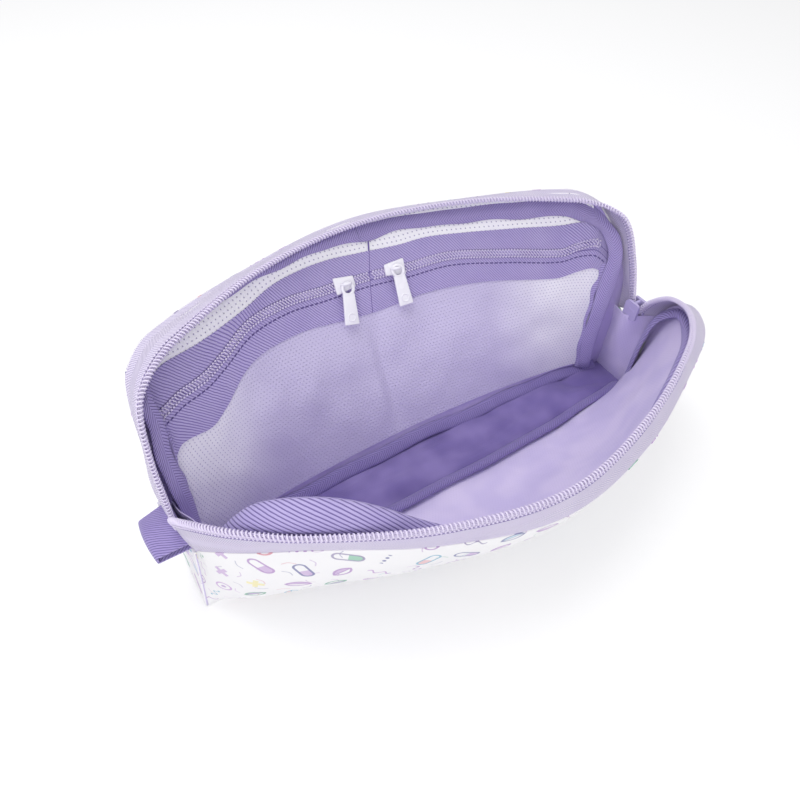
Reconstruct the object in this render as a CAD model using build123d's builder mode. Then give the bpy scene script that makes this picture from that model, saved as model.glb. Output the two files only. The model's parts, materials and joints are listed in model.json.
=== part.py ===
from build123d import *
from math import sin, cos, pi, sqrt, radians
import os

# Soft zip case for a stethoscope, standing open on its bottom gusset, both panels bowed out.
# X runs along the case, -Y is the front panel, +Y the back panel with the pocket, Z is up.
# The middle of each panel swings on its bottom seam; the bends at x = +-BEND stay with the base.

os.makedirs("parts", exist_ok=True)

# ---- driving sizes (mm) ----
HALF = 131.0        # half the length of a panel
SEAM_Y = 15.0       # half the width of the bottom gusset, where the panels are hinged
SEAM_Z = 1.0        # height of the hinge line of a panel
HEIGHT = 118.0      # height of a panel, measured along the cloth
BEND = 70.0         # where the swinging middle of a panel ends
BEND_GAP = 0.3      # gap between the middle and the wings
FOOT = 0.034        # share of the height left free beside the bottom seam
CLEAR = 0.1         # gap between layers

COVER = 0.9         # printed cloth
BOARD = 2.0         # foam board
LINING = 0.7        # inner lining
BINDING = 1.2       # binding tape over the raw seam
BIND_W = 9.0        # width of the binding
TAPE = 0.8          # woven zip tape
COIL_W = 3.6        # width of one row of coil
COIL_H = 2.4        # thickness of one row of coil

BASE_COVER = 0.9
BASE_BOARD = 1.4
BASE_LINING = 0.6
END_TOP = 38.0      # top of the printed part of an end gusset
ZIP_END = 49.0      # height at which the two rows of coil meet at either end

COVER_OFF = 0.0
BOARD_OFF = COVER + CLEAR
LINING_OFF = BOARD_OFF + BOARD + CLEAR
INNER_OFF = LINING_OFF + LINING + CLEAR
BIND_OFF = INNER_OFF
TAPE_OFF = INNER_OFF + 2.4
TAPE_IN = 2.7       # how far inside the rim the zip tape starts
POCKET_OFF = INNER_OFF + 0.5
POCKET = 0.7        # thickness of pocket mesh and pocket tape

# A panel's section is a quadratic curve from the seam through two control points (out, up).
# "mid" holds them at the middle of the length, "end" at the ends of the panel.
# "coil" holds (out, up) of the open row of coil at the middle, before and after the corner.
FRONT_CROWN = 16.0   # how far the open coil stands above the rim before the corner
BACK_CROWN = 5.0
FRONT = {"side": -1, "round": 36.0, "power": 1.9,
         "mid": ((77.0, -3.0), (86.0, 71.0)), "end": ((17.0, 50.0), (35.0, 79.0)),
         "coil": ((85.5, 83.0), 71.0 + FRONT_CROWN, (21.0, 73.0)), "coil_power": 2.1}
BACK = {"side": 1, "round": 36.0, "power": 1.7,
        "mid": ((56.0, 60.0), (86.0, 101.0)), "end": ((18.0, 57.0), (36.0, 105.0)),
        "coil": ((73.6, 101.0 + BACK_CROWN), 101.0 + BACK_CROWN, (13.0, 88.0)), "coil_power": 2.0}

# pocket on the back panel, heights along the cloth
POCKET_LOW = 10.0
POCKET_ZIP = 88.0
POCKET_TAPE = 12.0
POCKET_TOP = 107.5
EDGE_W = 4.0        # sewn edge of the pocket
POCKET_X = HALF - 19.0
STRIP_X = POCKET_X - EDGE_W
DIVIDER = 4.0

# sliders and pulls
SLIDER_L = 8.0
SLIDER_W = 7.6
SLIDER_T = 1.3
SLIDER_LIFT = 0.9   # the slider keeps clear of the curved zip over its straight run
POST_H = 2.2        # height of the window under the bridge of a slider
POST_AT = 1.9
POST_T = 1.2
BRIDGE_T = 0.8
BRIDGE_W = 2.0
EYE = 1.1           # bar of the pull that turns in the window
EYE_T = 1.0
SLOT_L = 3.05
SLOT_W = 2.6
PULL_L = 21.0
PULL_W = 8.0
PULL_T = 1.6
LEFT_PARK = -15.0
LEFT_END = -64.0
RIGHT_PARK = 14.0
RIGHT_END = 64.0


def bow(panel, x, power="power"):
    """1 at the middle of the length, 0 at the ends."""
    return 1 - (abs(x) / HALF) ** panel[power]


def blend(a, b, w):
    return (b[0] + (a[0] - b[0]) * w, b[1] + (a[1] - b[1]) * w)


def section_point(panel, x, t, off):
    """Point (out, up) at share t of the height, off mm inside the outer face."""
    w = bow(panel, x)
    p1 = blend(panel["mid"][0], panel["end"][0], w)
    p2 = blend(panel["mid"][1], panel["end"][1], w)
    q = 1 - t
    out = q * q * SEAM_Y + 2 * q * t * p1[0] + t * t * p2[0]
    up = q * q * SEAM_Z + 2 * q * t * p1[1] + t * t * p2[1]
    go = 2 * q * (p1[0] - SEAM_Y) + 2 * t * (p2[0] - p1[0])
    gu = 2 * q * (p1[1] - SEAM_Z) + 2 * t * (p2[1] - p1[1])
    n = sqrt(go * go + gu * gu)
    return (out - off * gu / n, up + off * go / n)


def panel_point(panel, x, t, off):
    out, up = section_point(panel, x, t, off)
    return Vector(x, panel["side"] * out, up)


def rim(panel, x, inset=0.0):
    """Height along the cloth, at x, of the panel's outline moved in by inset."""
    r = panel["round"]
    over = max(0.0, abs(x) - (HALF - r))
    return HEIGHT - r + sqrt(max(0.0, (r - inset) ** 2 - over * over))


def shell(panel, xs, low, high, off, thick, steps=6, ruled=False):
    """Layer of the panel between heights low(x) and high(x), lofted along X."""
    cuts = []
    for x in xs:
        t0 = max(FOOT, low(x) / HEIGHT)
        t1 = high(x) / HEIGHT
        ts = [t0 + (t1 - t0) * i / steps for i in range(steps + 1)]
        outer = [section_point(panel, x, t, off) for t in ts]
        inner = [section_point(panel, x, t, off + thick) for t in ts]
        outer = [(panel["side"] * p[0], p[1]) for p in outer]
        inner = [(panel["side"] * p[0], p[1]) for p in inner]
        with BuildSketch(Plane.YZ.offset(x)) as cut:
            with BuildLine():
                Spline(outer)
                Line(outer[-1], inner[-1])
                Spline(inner[::-1])
                Line(inner[0], outer[0])
            make_face()
        cuts.append(cut.sketch)
    loft(cuts, ruled=ruled)


def middle_xs(count=7):
    reach = BEND - BEND_GAP / 2
    return [-reach + 2 * reach * i / (count - 1) for i in range(count)]


def wing_xs(panel, hand, reach=HALF):
    start = BEND + BEND_GAP / 2
    flat = HALF - panel["round"]
    r = panel["round"]
    xs = [start, (start + flat) / 2, flat]
    xs += [flat + r * sin(radians(a)) for a in range(15, 91, 15)]
    return [hand * x for x in xs if x <= reach + 0.01]


def foot(x):
    return 0.0


# The rim of a panel as stations: 0..1 along the top, 1..2 round the corner, 2..3 down the side.
def rim_station(panel, q, inset, off):
    r = panel["round"]
    flat = HALF - r
    if q <= 1:
        x = flat * q
        v = HEIGHT - inset
    elif q <= 2:
        a = (q - 1) * pi / 2
        x = flat + (r - inset) * sin(a)
        v = HEIGHT - r + (r - inset) * cos(a)
    else:
        x = HALF - inset
        v = (HEIGHT - r) + (ZIP_END - HEIGHT + r) * (q - 2)
    return x, v, off


def rim_point(panel, hand, q, inset, off):
    x, v, off = rim_station(panel, q, inset, off)
    return panel_point(panel, hand * x, v / HEIGHT, off)


def coil_point(panel, hand, q):
    """Centre of the open row of coil at the same station."""
    r = panel["round"]
    flat = HALF - r
    mid, crown, top = panel["coil"]
    if q <= 2:
        a = max(0.0, q - 1) * pi / 2
        x = flat * min(q, 1) + (r - 2) * sin(a)
        w = 1 - (x / (HALF - 2)) ** panel["coil_power"]
        out = top[0] + (mid[0] - top[0]) * w
        if q <= 1:
            up = mid[1] + (crown - mid[1]) * q * q
        else:
            up = top[1] + (crown - top[1]) * abs(cos(a)) ** 0.8
    else:
        x = HALF - 2
        s = q - 2
        out = top[0] + (COIL_W / 2 + 0.4 - top[0]) * s
        up = top[1] + (ZIP_END - top[1]) * s
    return Vector(hand * x, panel["side"] * out, up)


def ribbon(laid, thick, ruled=False):
    """Loft of flat sections: rows of (edge a, edge b), and flags for rows cut square across X."""
    rows, square = laid
    mids = [(a + b) / 2 for a, b in rows]
    cuts = []
    for i, (a, b) in enumerate(rows):
        ahead = mids[min(i + 1, len(mids) - 1)]
        behind = mids[max(i - 1, 0)]
        run = ahead - behind
        across = (b - a).normalized()
        if square[i]:
            run = Vector(run.X / abs(run.X), 0, 0)
        run = (run - across * run.dot(across)).normalized()
        with BuildSketch(Plane(origin=mids[i], x_dir=across, z_dir=run)) as cut:
            Rectangle((b - a).length, thick)
        cuts.append(cut.sketch)
    loft(cuts, ruled=ruled)


MIDDLE_Q = [-1, -0.66, -0.33, 0, 0.33, 0.66, 1]
WING_Q = [1.0] + [1 + a / 90 for a in range(15, 91, 15)] + [2.35, 2.7, 3.0]


def stations(panel, part):
    """(hand, q, square) for the middle or for a wing."""
    edge = (BEND - BEND_GAP / 2) / (HALF - panel["round"])
    wing = (BEND + BEND_GAP / 2) / (HALF - panel["round"])
    if part == "middle":
        return [(1 if q > 0 else -1, abs(q) * edge, True) for q in MIDDLE_Q]
    hand = 1 if part == "right" else -1
    return [(hand, wing, True), (hand, (1 + wing) / 2, True)] + [(hand, q, q <= 1) for q in WING_Q]


def tape_rows(panel, part):
    """Zip tape from the rim of the panel to the coil."""
    rows = []
    flags = []
    for hand, q, square in stations(panel, part):
        a = rim_point(panel, hand, q, TAPE_IN, TAPE_OFF)
        c = coil_point(panel, hand, q)
        along = (c - a).normalized()
        rows.append((a, c - along * (COIL_W / 2 + CLEAR)))
        flags.append(square)
    return rows, flags


def coil_rows(panel, part):
    rows = []
    flags = []
    for hand, q, square in stations(panel, part):
        a = rim_point(panel, hand, q, TAPE_IN, TAPE_OFF)
        c = coil_point(panel, hand, q)
        along = (c - a).normalized()
        rows.append((c - along * COIL_W / 2, c + along * COIL_W / 2))
        flags.append(square)
    return rows, flags


def binding_rows(panel, part):
    """Binding on the inner face of the panel, just inside the rim."""
    rows = []
    flags = []
    off = BIND_OFF + BINDING / 2 + 0.3
    for hand, q, square in stations(panel, part):
        a = rim_point(panel, hand, q, 2.2, off)
        b = rim_point(panel, hand, q, 2.2 + BIND_W, off)
        rows.append((a, b))
        flags.append(square)
    return rows, flags


def rim_low(panel, inset):
    return lambda x: rim(panel, x) - inset


def level(v):
    return lambda x: v


# ---- front panel: swinging middle ----
with BuildPart() as front_cover:
    shell(FRONT, middle_xs(), foot, rim_low(FRONT, 1.5), COVER_OFF, COVER)

with BuildPart() as front_board:
    shell(FRONT, middle_xs(), foot, rim_low(FRONT, 1.5), BOARD_OFF, BOARD)

with BuildPart() as front_lining:
    shell(FRONT, middle_xs(), foot, rim_low(FRONT, 1.5), LINING_OFF, LINING)

with BuildPart() as front_binding:
    ribbon(binding_rows(FRONT, "middle"), BINDING)

with BuildPart() as front_tape:
    ribbon(tape_rows(FRONT, "middle"), TAPE)

with BuildPart() as front_coil:
    ribbon(coil_rows(FRONT, "middle"), COIL_H)

# ---- front panel: wings that stay with the base ----
with BuildPart() as front_cover_wings:
    for hand in (-1, 1):
        shell(FRONT, wing_xs(FRONT, hand), foot, rim_low(FRONT, 1.5), COVER_OFF, COVER, ruled=True)

with BuildPart() as front_board_wings:
    for hand in (-1, 1):
        shell(FRONT, wing_xs(FRONT, hand), foot, rim_low(FRONT, 1.5), BOARD_OFF, BOARD, ruled=True)

with BuildPart() as front_lining_wings:
    for hand in (-1, 1):
        shell(FRONT, wing_xs(FRONT, hand), foot, rim_low(FRONT, 1.5), LINING_OFF, LINING, ruled=True)

with BuildPart() as front_binding_wings:
    for part in ("left", "right"):
        ribbon(binding_rows(FRONT, part), BINDING, ruled=True)

with BuildPart() as front_tape_wings:
    for part in ("left", "right"):
        ribbon(tape_rows(FRONT, part), TAPE, ruled=True)

with BuildPart() as front_coil_wings:
    for part in ("left", "right"):
        ribbon(coil_rows(FRONT, part), COIL_H, ruled=True)

# ---- back panel: swinging middle ----
with BuildPart() as back_cover:
    shell(BACK, middle_xs(), foot, rim_low(BACK, 1.5), COVER_OFF, COVER)

with BuildPart() as back_board:
    shell(BACK, middle_xs(), foot, rim_low(BACK, 1.5), BOARD_OFF, BOARD)

with BuildPart() as back_lining:
    shell(BACK, middle_xs(), foot, rim_low(BACK, 1.5), LINING_OFF, LINING)

with BuildPart() as back_binding:
    ribbon(binding_rows(BACK, "middle"), BINDING)

with BuildPart() as back_tape:
    ribbon(tape_rows(BACK, "middle"), TAPE)

with BuildPart() as back_coil:
    ribbon(coil_rows(BACK, "middle"), COIL_H)

# ---- back panel: wings ----
with BuildPart() as back_cover_wings:
    for hand in (-1, 1):
        shell(BACK, wing_xs(BACK, hand), foot, rim_low(BACK, 1.5), COVER_OFF, COVER, ruled=True)

with BuildPart() as back_board_wings:
    for hand in (-1, 1):
        shell(BACK, wing_xs(BACK, hand), foot, rim_low(BACK, 1.5), BOARD_OFF, BOARD, ruled=True)

with BuildPart() as back_lining_wings:
    for hand in (-1, 1):
        shell(BACK, wing_xs(BACK, hand), foot, rim_low(BACK, 1.5), LINING_OFF, LINING, ruled=True)

with BuildPart() as back_binding_wings:
    for part in ("left", "right"):
        ribbon(binding_rows(BACK, part), BINDING, ruled=True)

with BuildPart() as back_tape_wings:
    for part in ("left", "right"):
        ribbon(tape_rows(BACK, part), TAPE, ruled=True)

with BuildPart() as back_coil_wings:
    for part in ("left", "right"):
        ribbon(coil_rows(BACK, part), COIL_H, ruled=True)


# ---- pocket on the back panel ----
def span(a, b, count):
    return [a + (b - a) * i / (count - 1) for i in range(count)]


MID_LEFT = span(-BEND + BEND_GAP / 2, -DIVIDER / 2 - CLEAR, 4)
MID_RIGHT = span(DIVIDER / 2 + CLEAR, BEND - BEND_GAP / 2, 4)
WING_LEFT = span(-POCKET_X, -BEND - BEND_GAP / 2, 3)
WING_RIGHT = span(BEND + BEND_GAP / 2, POCKET_X, 3)
ZIP_LOW = POCKET_ZIP - COIL_W / 2
ZIP_HIGH = POCKET_ZIP + COIL_W / 2
BAND_LOW = ZIP_LOW - POCKET_TAPE
BAND_HIGH = ZIP_HIGH + POCKET_TAPE - 3.0
BELOW = (POCKET_LOW, BAND_LOW - CLEAR)
LOWER = (BAND_LOW, ZIP_LOW - CLEAR)
ZIPPER = (ZIP_LOW, ZIP_HIGH)
UPPER = (ZIP_HIGH + CLEAR, BAND_HIGH)


def pocket_shell(xs, band, off=POCKET_OFF, thick=POCKET):
    shell(BACK, xs, level(band[0]), level(band[1]), off, thick, 4)


def strip_top(x):
    """Upper edge of the pocket's top strip, clear of the binding round the corner."""
    return min(POCKET_TOP, rim(BACK, x, 2.2 + BIND_W + 0.9))


def edge_top(x):
    return min(BAND_HIGH, rim(BACK, x, 2.2 + BIND_W + 0.9))


with BuildPart() as pocket_mesh_left:
    pocket_shell(MID_LEFT, BELOW)

with BuildPart() as pocket_mesh_right:
    pocket_shell(MID_RIGHT, BELOW)

with BuildPart() as pocket_tape_lower:
    pocket_shell(MID_LEFT, LOWER)
    pocket_shell(MID_RIGHT, LOWER)

with BuildPart() as pocket_tape_upper:
    pocket_shell(MID_LEFT, UPPER)
    pocket_shell(MID_RIGHT, UPPER)

with BuildPart() as pocket_coil:
    pocket_shell(MID_LEFT, ZIPPER, POCKET_OFF - 0.3, 1.6)
    pocket_shell(MID_RIGHT, ZIPPER, POCKET_OFF - 0.3, 1.6)

with BuildPart() as pocket_top_strip:
    shell(BACK, span(-BEND + BEND_GAP / 2, BEND - BEND_GAP / 2, 5),
          level(BAND_HIGH + 0.4), strip_top, POCKET_OFF, POCKET, 3)

with BuildPart() as pocket_divider:
    shell(BACK, span(-DIVIDER / 2, DIVIDER / 2, 2), level(POCKET_LOW), level(BAND_HIGH),
          INNER_OFF + 0.2, 1.2, 5)

with BuildPart() as pocket_mesh_wings:
    pocket_shell(WING_LEFT, BELOW)
    pocket_shell(WING_RIGHT, BELOW)

with BuildPart() as pocket_tape_wings:
    for xs in (WING_LEFT, WING_RIGHT):
        pocket_shell(xs, LOWER)
        pocket_shell(xs, UPPER)

with BuildPart() as pocket_coil_wings:
    pocket_shell(WING_LEFT, ZIPPER, POCKET_OFF - 0.3, 1.6)
    pocket_shell(WING_RIGHT, ZIPPER, POCKET_OFF - 0.3, 1.6)

with BuildPart() as pocket_strip_wings:
    for xs in (span(-STRIP_X, -BEND - BEND_GAP / 2, 5), span(BEND + BEND_GAP / 2, STRIP_X, 5)):
        shell(BACK, xs, level(BAND_HIGH + 0.4), strip_top, POCKET_OFF, POCKET, 3)

with BuildPart() as pocket_edge_left:
    shell(BACK, span(-POCKET_X - CLEAR - EDGE_W, -POCKET_X - CLEAR, 2), level(POCKET_LOW),
          edge_top, INNER_OFF + 0.2, 1.4, 5)

with BuildPart() as pocket_edge_right:
    shell(BACK, span(POCKET_X + CLEAR, POCKET_X + CLEAR + EDGE_W, 2), level(POCKET_LOW),
          edge_top, INNER_OFF + 0.2, 1.4, 5)


# ---- pocket sliders and their pulls ----
def zip_point(x, lift):
    return panel_point(BACK, x, POCKET_ZIP / HEIGHT, POCKET_OFF - 0.3 + 1.6 + lift)


def slider_plane(park, end):
    """Plane on the pocket zip at park: X along the straight run to end, Y up the panel."""
    t = POCKET_ZIP / HEIGHT
    run = (zip_point(end, 0) - zip_point(park, 0)).normalized()
    if end < park:
        run = run * -1
    up = panel_point(BACK, park, t + 0.01, 0) - panel_point(BACK, park, t - 0.01, 0)
    return Plane(origin=zip_point(park, SLIDER_LIFT), x_dir=run, z_dir=run.cross(up.normalized()))


def slider_top(base, width, posts):
    """Two posts and a bridge on a slider's plate; posts is where they stand along Y."""
    with BuildSketch(base) as feet:
        with Locations((0, posts), (0, -posts)):
            Rectangle(width, POST_T)
    extrude(feet.sketch, amount=POST_H)
    with BuildSketch(base.offset(POST_H)) as bridge:
        Rectangle(width, 2 * posts + POST_T)
    extrude(bridge.sketch, amount=BRIDGE_T)


def pull_shape(base, length, width):
    """Pull whose eye turns in the window above base: slotted head, thicker grip, dimple."""
    eye = base.offset((POST_H - EYE_T) / 2)
    slot = EYE / 2 + SLOT_L
    with BuildSketch(eye) as flat:
        with Locations((0, EYE / 2 - length / 2)):
            RectangleRounded(width, length, 1.0)
        with Locations((0, -EYE / 2 - SLOT_L / 2)):
            Rectangle(SLOT_W, SLOT_L, mode=Mode.SUBTRACT)
    extrude(flat.sketch, amount=EYE_T)
    grip = length - slot - EYE / 2 - 0.8
    with BuildSketch(eye.offset(EYE_T)) as thick:
        with Locations((0, -slot - 0.8 - grip / 2)):
            RectangleRounded(width, grip, 1.0)
    extrude(thick.sketch, amount=PULL_T - EYE_T)
    with BuildSketch(eye.offset(PULL_T)) as dimple:
        with Locations((0, EYE / 2 - length + 5.5)):
            Circle(2.0)
    extrude(dimple.sketch, amount=-0.8, mode=Mode.SUBTRACT)


def slider_body(park, end):
    base = slider_plane(park, end)
    with BuildSketch(base) as plate:
        RectangleRounded(SLIDER_L, SLIDER_W, 1.6)
    extrude(plate.sketch, amount=SLIDER_T)
    slider_top(base.offset(SLIDER_T), BRIDGE_W, POST_AT)


with BuildPart() as left_slider:
    slider_body(LEFT_PARK, LEFT_END)

with BuildPart() as left_pull:
    pull_shape(slider_plane(LEFT_PARK, LEFT_END).offset(SLIDER_T), PULL_L, PULL_W)

with BuildPart() as right_slider:
    slider_body(RIGHT_PARK, RIGHT_END)

with BuildPart() as right_pull:
    pull_shape(slider_plane(RIGHT_PARK, RIGHT_END).offset(SLIDER_T), PULL_L, PULL_W)

# ---- bottom gusset ----
INNER_Y = SEAM_Y - INNER_OFF - 0.3
with BuildPart() as bottom_cover:
    with BuildSketch(Plane.XY):
        RectangleRounded(2 * HALF, 2 * SEAM_Y - 0.6, 2.0)
    extrude(amount=BASE_COVER)

with BuildPart() as bottom_board:
    with BuildSketch(Plane.XY.offset(BASE_COVER)):
        Rectangle(2 * HALF - 3.0, 2 * SEAM_Y - 3.0)
    extrude(amount=BASE_BOARD)

with BuildPart() as bottom_lining:
    with BuildSketch(Plane.XY.offset(BASE_COVER + BASE_BOARD)):
        Rectangle(2 * HALF - 5.0, 2 * SEAM_Y - 3.0)
    extrude(amount=BASE_LINING)

BASE_TOP = BASE_COVER + BASE_BOARD + BASE_LINING


def end_gusset(x, thick, z0, z1, grow):
    """Tall plate across an end: INNER_Y wide at its foot, wider by grow at its top."""
    with BuildSketch(Plane.YZ.offset(x)) as face:
        with BuildLine():
            Polyline((-INNER_Y, z0), (INNER_Y, z0), (INNER_Y + grow, z1),
                     (-INNER_Y - grow, z1), close=True)
        make_face()
    extrude(face.sketch, amount=thick)


with BuildPart() as end_cover_left:
    end_gusset(-HALF + 0.2, COVER, BASE_COVER + 0.02, END_TOP, 2.0)

with BuildPart() as end_cover_right:
    end_gusset(HALF - 0.2 - COVER, COVER, BASE_COVER + 0.02, END_TOP, 2.0)

with BuildPart() as end_lining_left:
    end_gusset(-HALF + 0.2 + COVER + CLEAR, LINING, BASE_TOP + 0.02, END_TOP, 2.0)

with BuildPart() as end_lining_right:
    end_gusset(HALF - 0.2 - COVER - CLEAR - LINING, LINING, BASE_TOP + 0.02, END_TOP, 2.0)


BINDING_IN = 16.0    # the binding stops short of the ends of the gusset


def bottom_binding(side):
    """Binding that stands on the lining beside a bottom seam."""
    with BuildSketch(Plane.XZ.offset(-side * (INNER_Y - 1.6))) as strip:
        with Locations((0, BASE_TOP + BIND_W / 2)):
            Rectangle(2 * (HALF - BINDING_IN), BIND_W)
    extrude(strip.sketch, amount=BINDING)


with BuildPart() as bottom_front_binding:
    bottom_binding(-1)

with BuildPart() as bottom_back_binding:
    bottom_binding(1)

# ---- zip ends, loop tab, main slider ----
PATCH_W = 18.0
PATCH_T = 0.9
PATCH_X = HALF - 0.1
PATCH_LOW = 30.0
with BuildPart() as zip_end_left:
    with BuildSketch(Plane.YZ.offset(-PATCH_X - PATCH_T)):
        with Locations((0, (PATCH_LOW + ZIP_END - 2.0) / 2)):
            RectangleRounded(PATCH_W, ZIP_END - 2.0 - PATCH_LOW, 2.0)
    extrude(amount=PATCH_T)

MAIN_L = 11.0
MAIN_W = 9.0
MAIN_X = HALF - 2
MAIN_Z = ZIP_END + 3.0
MAIN_FACE = COIL_H / 2 + 0.9
MAIN_PLATE = 1.5
PATCH_TOP = MAIN_Z - MAIN_L / 2 - 1.0
with BuildPart() as zip_end_right:
    with BuildSketch(Plane.YZ.offset(PATCH_X)):
        with Locations((0, (PATCH_LOW + PATCH_TOP) / 2)):
            RectangleRounded(PATCH_W, PATCH_TOP - PATCH_LOW, 2.0)
    extrude(amount=PATCH_T)

LOOP_W = 22.0
LOOP_T = 1.3
LOOP_GAP = 1.5
LOOP_REACH = 12.0
LOOP_Z = 42.5
LOOP_X = -PATCH_X - PATCH_T - 0.1
LOOP_FULL = LOOP_T + LOOP_GAP / 2
LOOP_OUT = -HALF - LOOP_REACH + LOOP_FULL
with BuildPart() as loop_tab:
    with BuildSketch(Plane.XZ.offset(-LOOP_W / 2)):
        with BuildLine():
            a = Line((LOOP_X, LOOP_Z - LOOP_FULL), (LOOP_OUT, LOOP_Z - LOOP_FULL))
            b = ThreePointArc(a @ 1, (LOOP_OUT - LOOP_FULL, LOOP_Z), (LOOP_OUT, LOOP_Z + LOOP_FULL))
            c = Line(b @ 1, (LOOP_X, LOOP_Z + LOOP_FULL))
            d = Line(c @ 1, (LOOP_X, LOOP_Z + LOOP_GAP / 2))
            e = Line(d @ 1, (LOOP_OUT, LOOP_Z + LOOP_GAP / 2))
            f = ThreePointArc(e @ 1, (LOOP_OUT - LOOP_GAP / 2, LOOP_Z),
                              (LOOP_OUT, LOOP_Z - LOOP_GAP / 2))
            g = Line(f @ 1, (LOOP_X, LOOP_Z - LOOP_GAP / 2))
            Line(g @ 1, a @ 0)
        make_face()
    extrude(amount=LOOP_W)

# Plane on the outside of the main zip: X towards the back, Y up, normal away from the case.
MAIN_BASE = Plane(origin=(MAIN_X + MAIN_FACE + MAIN_PLATE, 0, MAIN_Z), x_dir=(0, 1, 0), z_dir=(1, 0, 0))
with BuildPart() as main_slider:
    with BuildSketch(MAIN_BASE.offset(-MAIN_PLATE), MAIN_BASE.offset(-2 * MAIN_FACE - 2 * MAIN_PLATE)):
        RectangleRounded(MAIN_W, MAIN_L, 2.0)
    extrude(amount=MAIN_PLATE)
    with BuildSketch(MAIN_BASE.offset(-MAIN_PLATE)):
        with Locations((0, MAIN_L / 2 - 1.6)):
            Ellipse(1.0, 1.4)
    extrude(amount=-2 * MAIN_FACE)
    slider_top(MAIN_BASE, BRIDGE_W + 0.2, POST_AT)

MAIN_PULL_L = 30.0
with BuildPart() as main_pull:
    pull_shape(MAIN_BASE, MAIN_PULL_L, PULL_W + 0.5)

# ---- labels and files ----
front_cover.part.label = "front_cover"
front_board.part.label = "front_board"
front_lining.part.label = "front_lining"
front_binding.part.label = "front_binding"
front_tape.part.label = "front_tape"
front_coil.part.label = "front_coil"
front_cover_wings.part.label = "front_cover_wings"
front_board_wings.part.label = "front_board_wings"
front_lining_wings.part.label = "front_lining_wings"
front_binding_wings.part.label = "front_binding_wings"
front_tape_wings.part.label = "front_tape_wings"
front_coil_wings.part.label = "front_coil_wings"
back_cover.part.label = "back_cover"
back_board.part.label = "back_board"
back_lining.part.label = "back_lining"
back_binding.part.label = "back_binding"
back_tape.part.label = "back_tape"
back_coil.part.label = "back_coil"
back_cover_wings.part.label = "back_cover_wings"
back_board_wings.part.label = "back_board_wings"
back_lining_wings.part.label = "back_lining_wings"
back_binding_wings.part.label = "back_binding_wings"
back_tape_wings.part.label = "back_tape_wings"
back_coil_wings.part.label = "back_coil_wings"
pocket_mesh_left.part.label = "pocket_mesh_left"
pocket_mesh_right.part.label = "pocket_mesh_right"
pocket_tape_lower.part.label = "pocket_tape_lower"
pocket_tape_upper.part.label = "pocket_tape_upper"
pocket_coil.part.label = "pocket_coil"
pocket_top_strip.part.label = "pocket_top_strip"
pocket_divider.part.label = "pocket_divider"
pocket_mesh_wings.part.label = "pocket_mesh_wings"
pocket_tape_wings.part.label = "pocket_tape_wings"
pocket_coil_wings.part.label = "pocket_coil_wings"
pocket_strip_wings.part.label = "pocket_strip_wings"
pocket_edge_left.part.label = "pocket_edge_left"
pocket_edge_right.part.label = "pocket_edge_right"
left_slider.part.label = "left_slider"
left_pull.part.label = "left_pull"
right_slider.part.label = "right_slider"
right_pull.part.label = "right_pull"
bottom_cover.part.label = "bottom_cover"
bottom_board.part.label = "bottom_board"
bottom_lining.part.label = "bottom_lining"
end_cover_left.part.label = "end_cover_left"
end_cover_right.part.label = "end_cover_right"
end_lining_left.part.label = "end_lining_left"
end_lining_right.part.label = "end_lining_right"
bottom_front_binding.part.label = "bottom_front_binding"
bottom_back_binding.part.label = "bottom_back_binding"
zip_end_left.part.label = "zip_end_left"
zip_end_right.part.label = "zip_end_right"
loop_tab.part.label = "loop_tab"
main_slider.part.label = "main_slider"
main_pull.part.label = "main_pull"

PARTS = [
    front_cover, front_board, front_lining, front_binding, front_tape, front_coil,
    front_cover_wings, front_board_wings, front_lining_wings,
    front_binding_wings, front_tape_wings, front_coil_wings,
    back_cover, back_board, back_lining, back_binding, back_tape, back_coil,
    back_cover_wings, back_board_wings, back_lining_wings,
    back_binding_wings, back_tape_wings, back_coil_wings,
    pocket_mesh_left, pocket_mesh_right, pocket_tape_lower, pocket_tape_upper,
    pocket_coil, pocket_top_strip, pocket_divider, pocket_mesh_wings,
    pocket_tape_wings, pocket_coil_wings, pocket_strip_wings,
    pocket_edge_left, pocket_edge_right,
    left_slider, left_pull, right_slider, right_pull,
    bottom_cover, bottom_board, bottom_lining,
    end_cover_left, end_cover_right, end_lining_left, end_lining_right,
    bottom_front_binding, bottom_back_binding, zip_end_left, zip_end_right,
    loop_tab, main_slider, main_pull,
]
for piece in PARTS:
    export_step(piece.part, "parts/" + piece.part.label + ".step")
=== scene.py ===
import json
from math import sin, cos, pi, floor
import bpy
import bmesh
from mathutils import Vector, Matrix, noise


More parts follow.
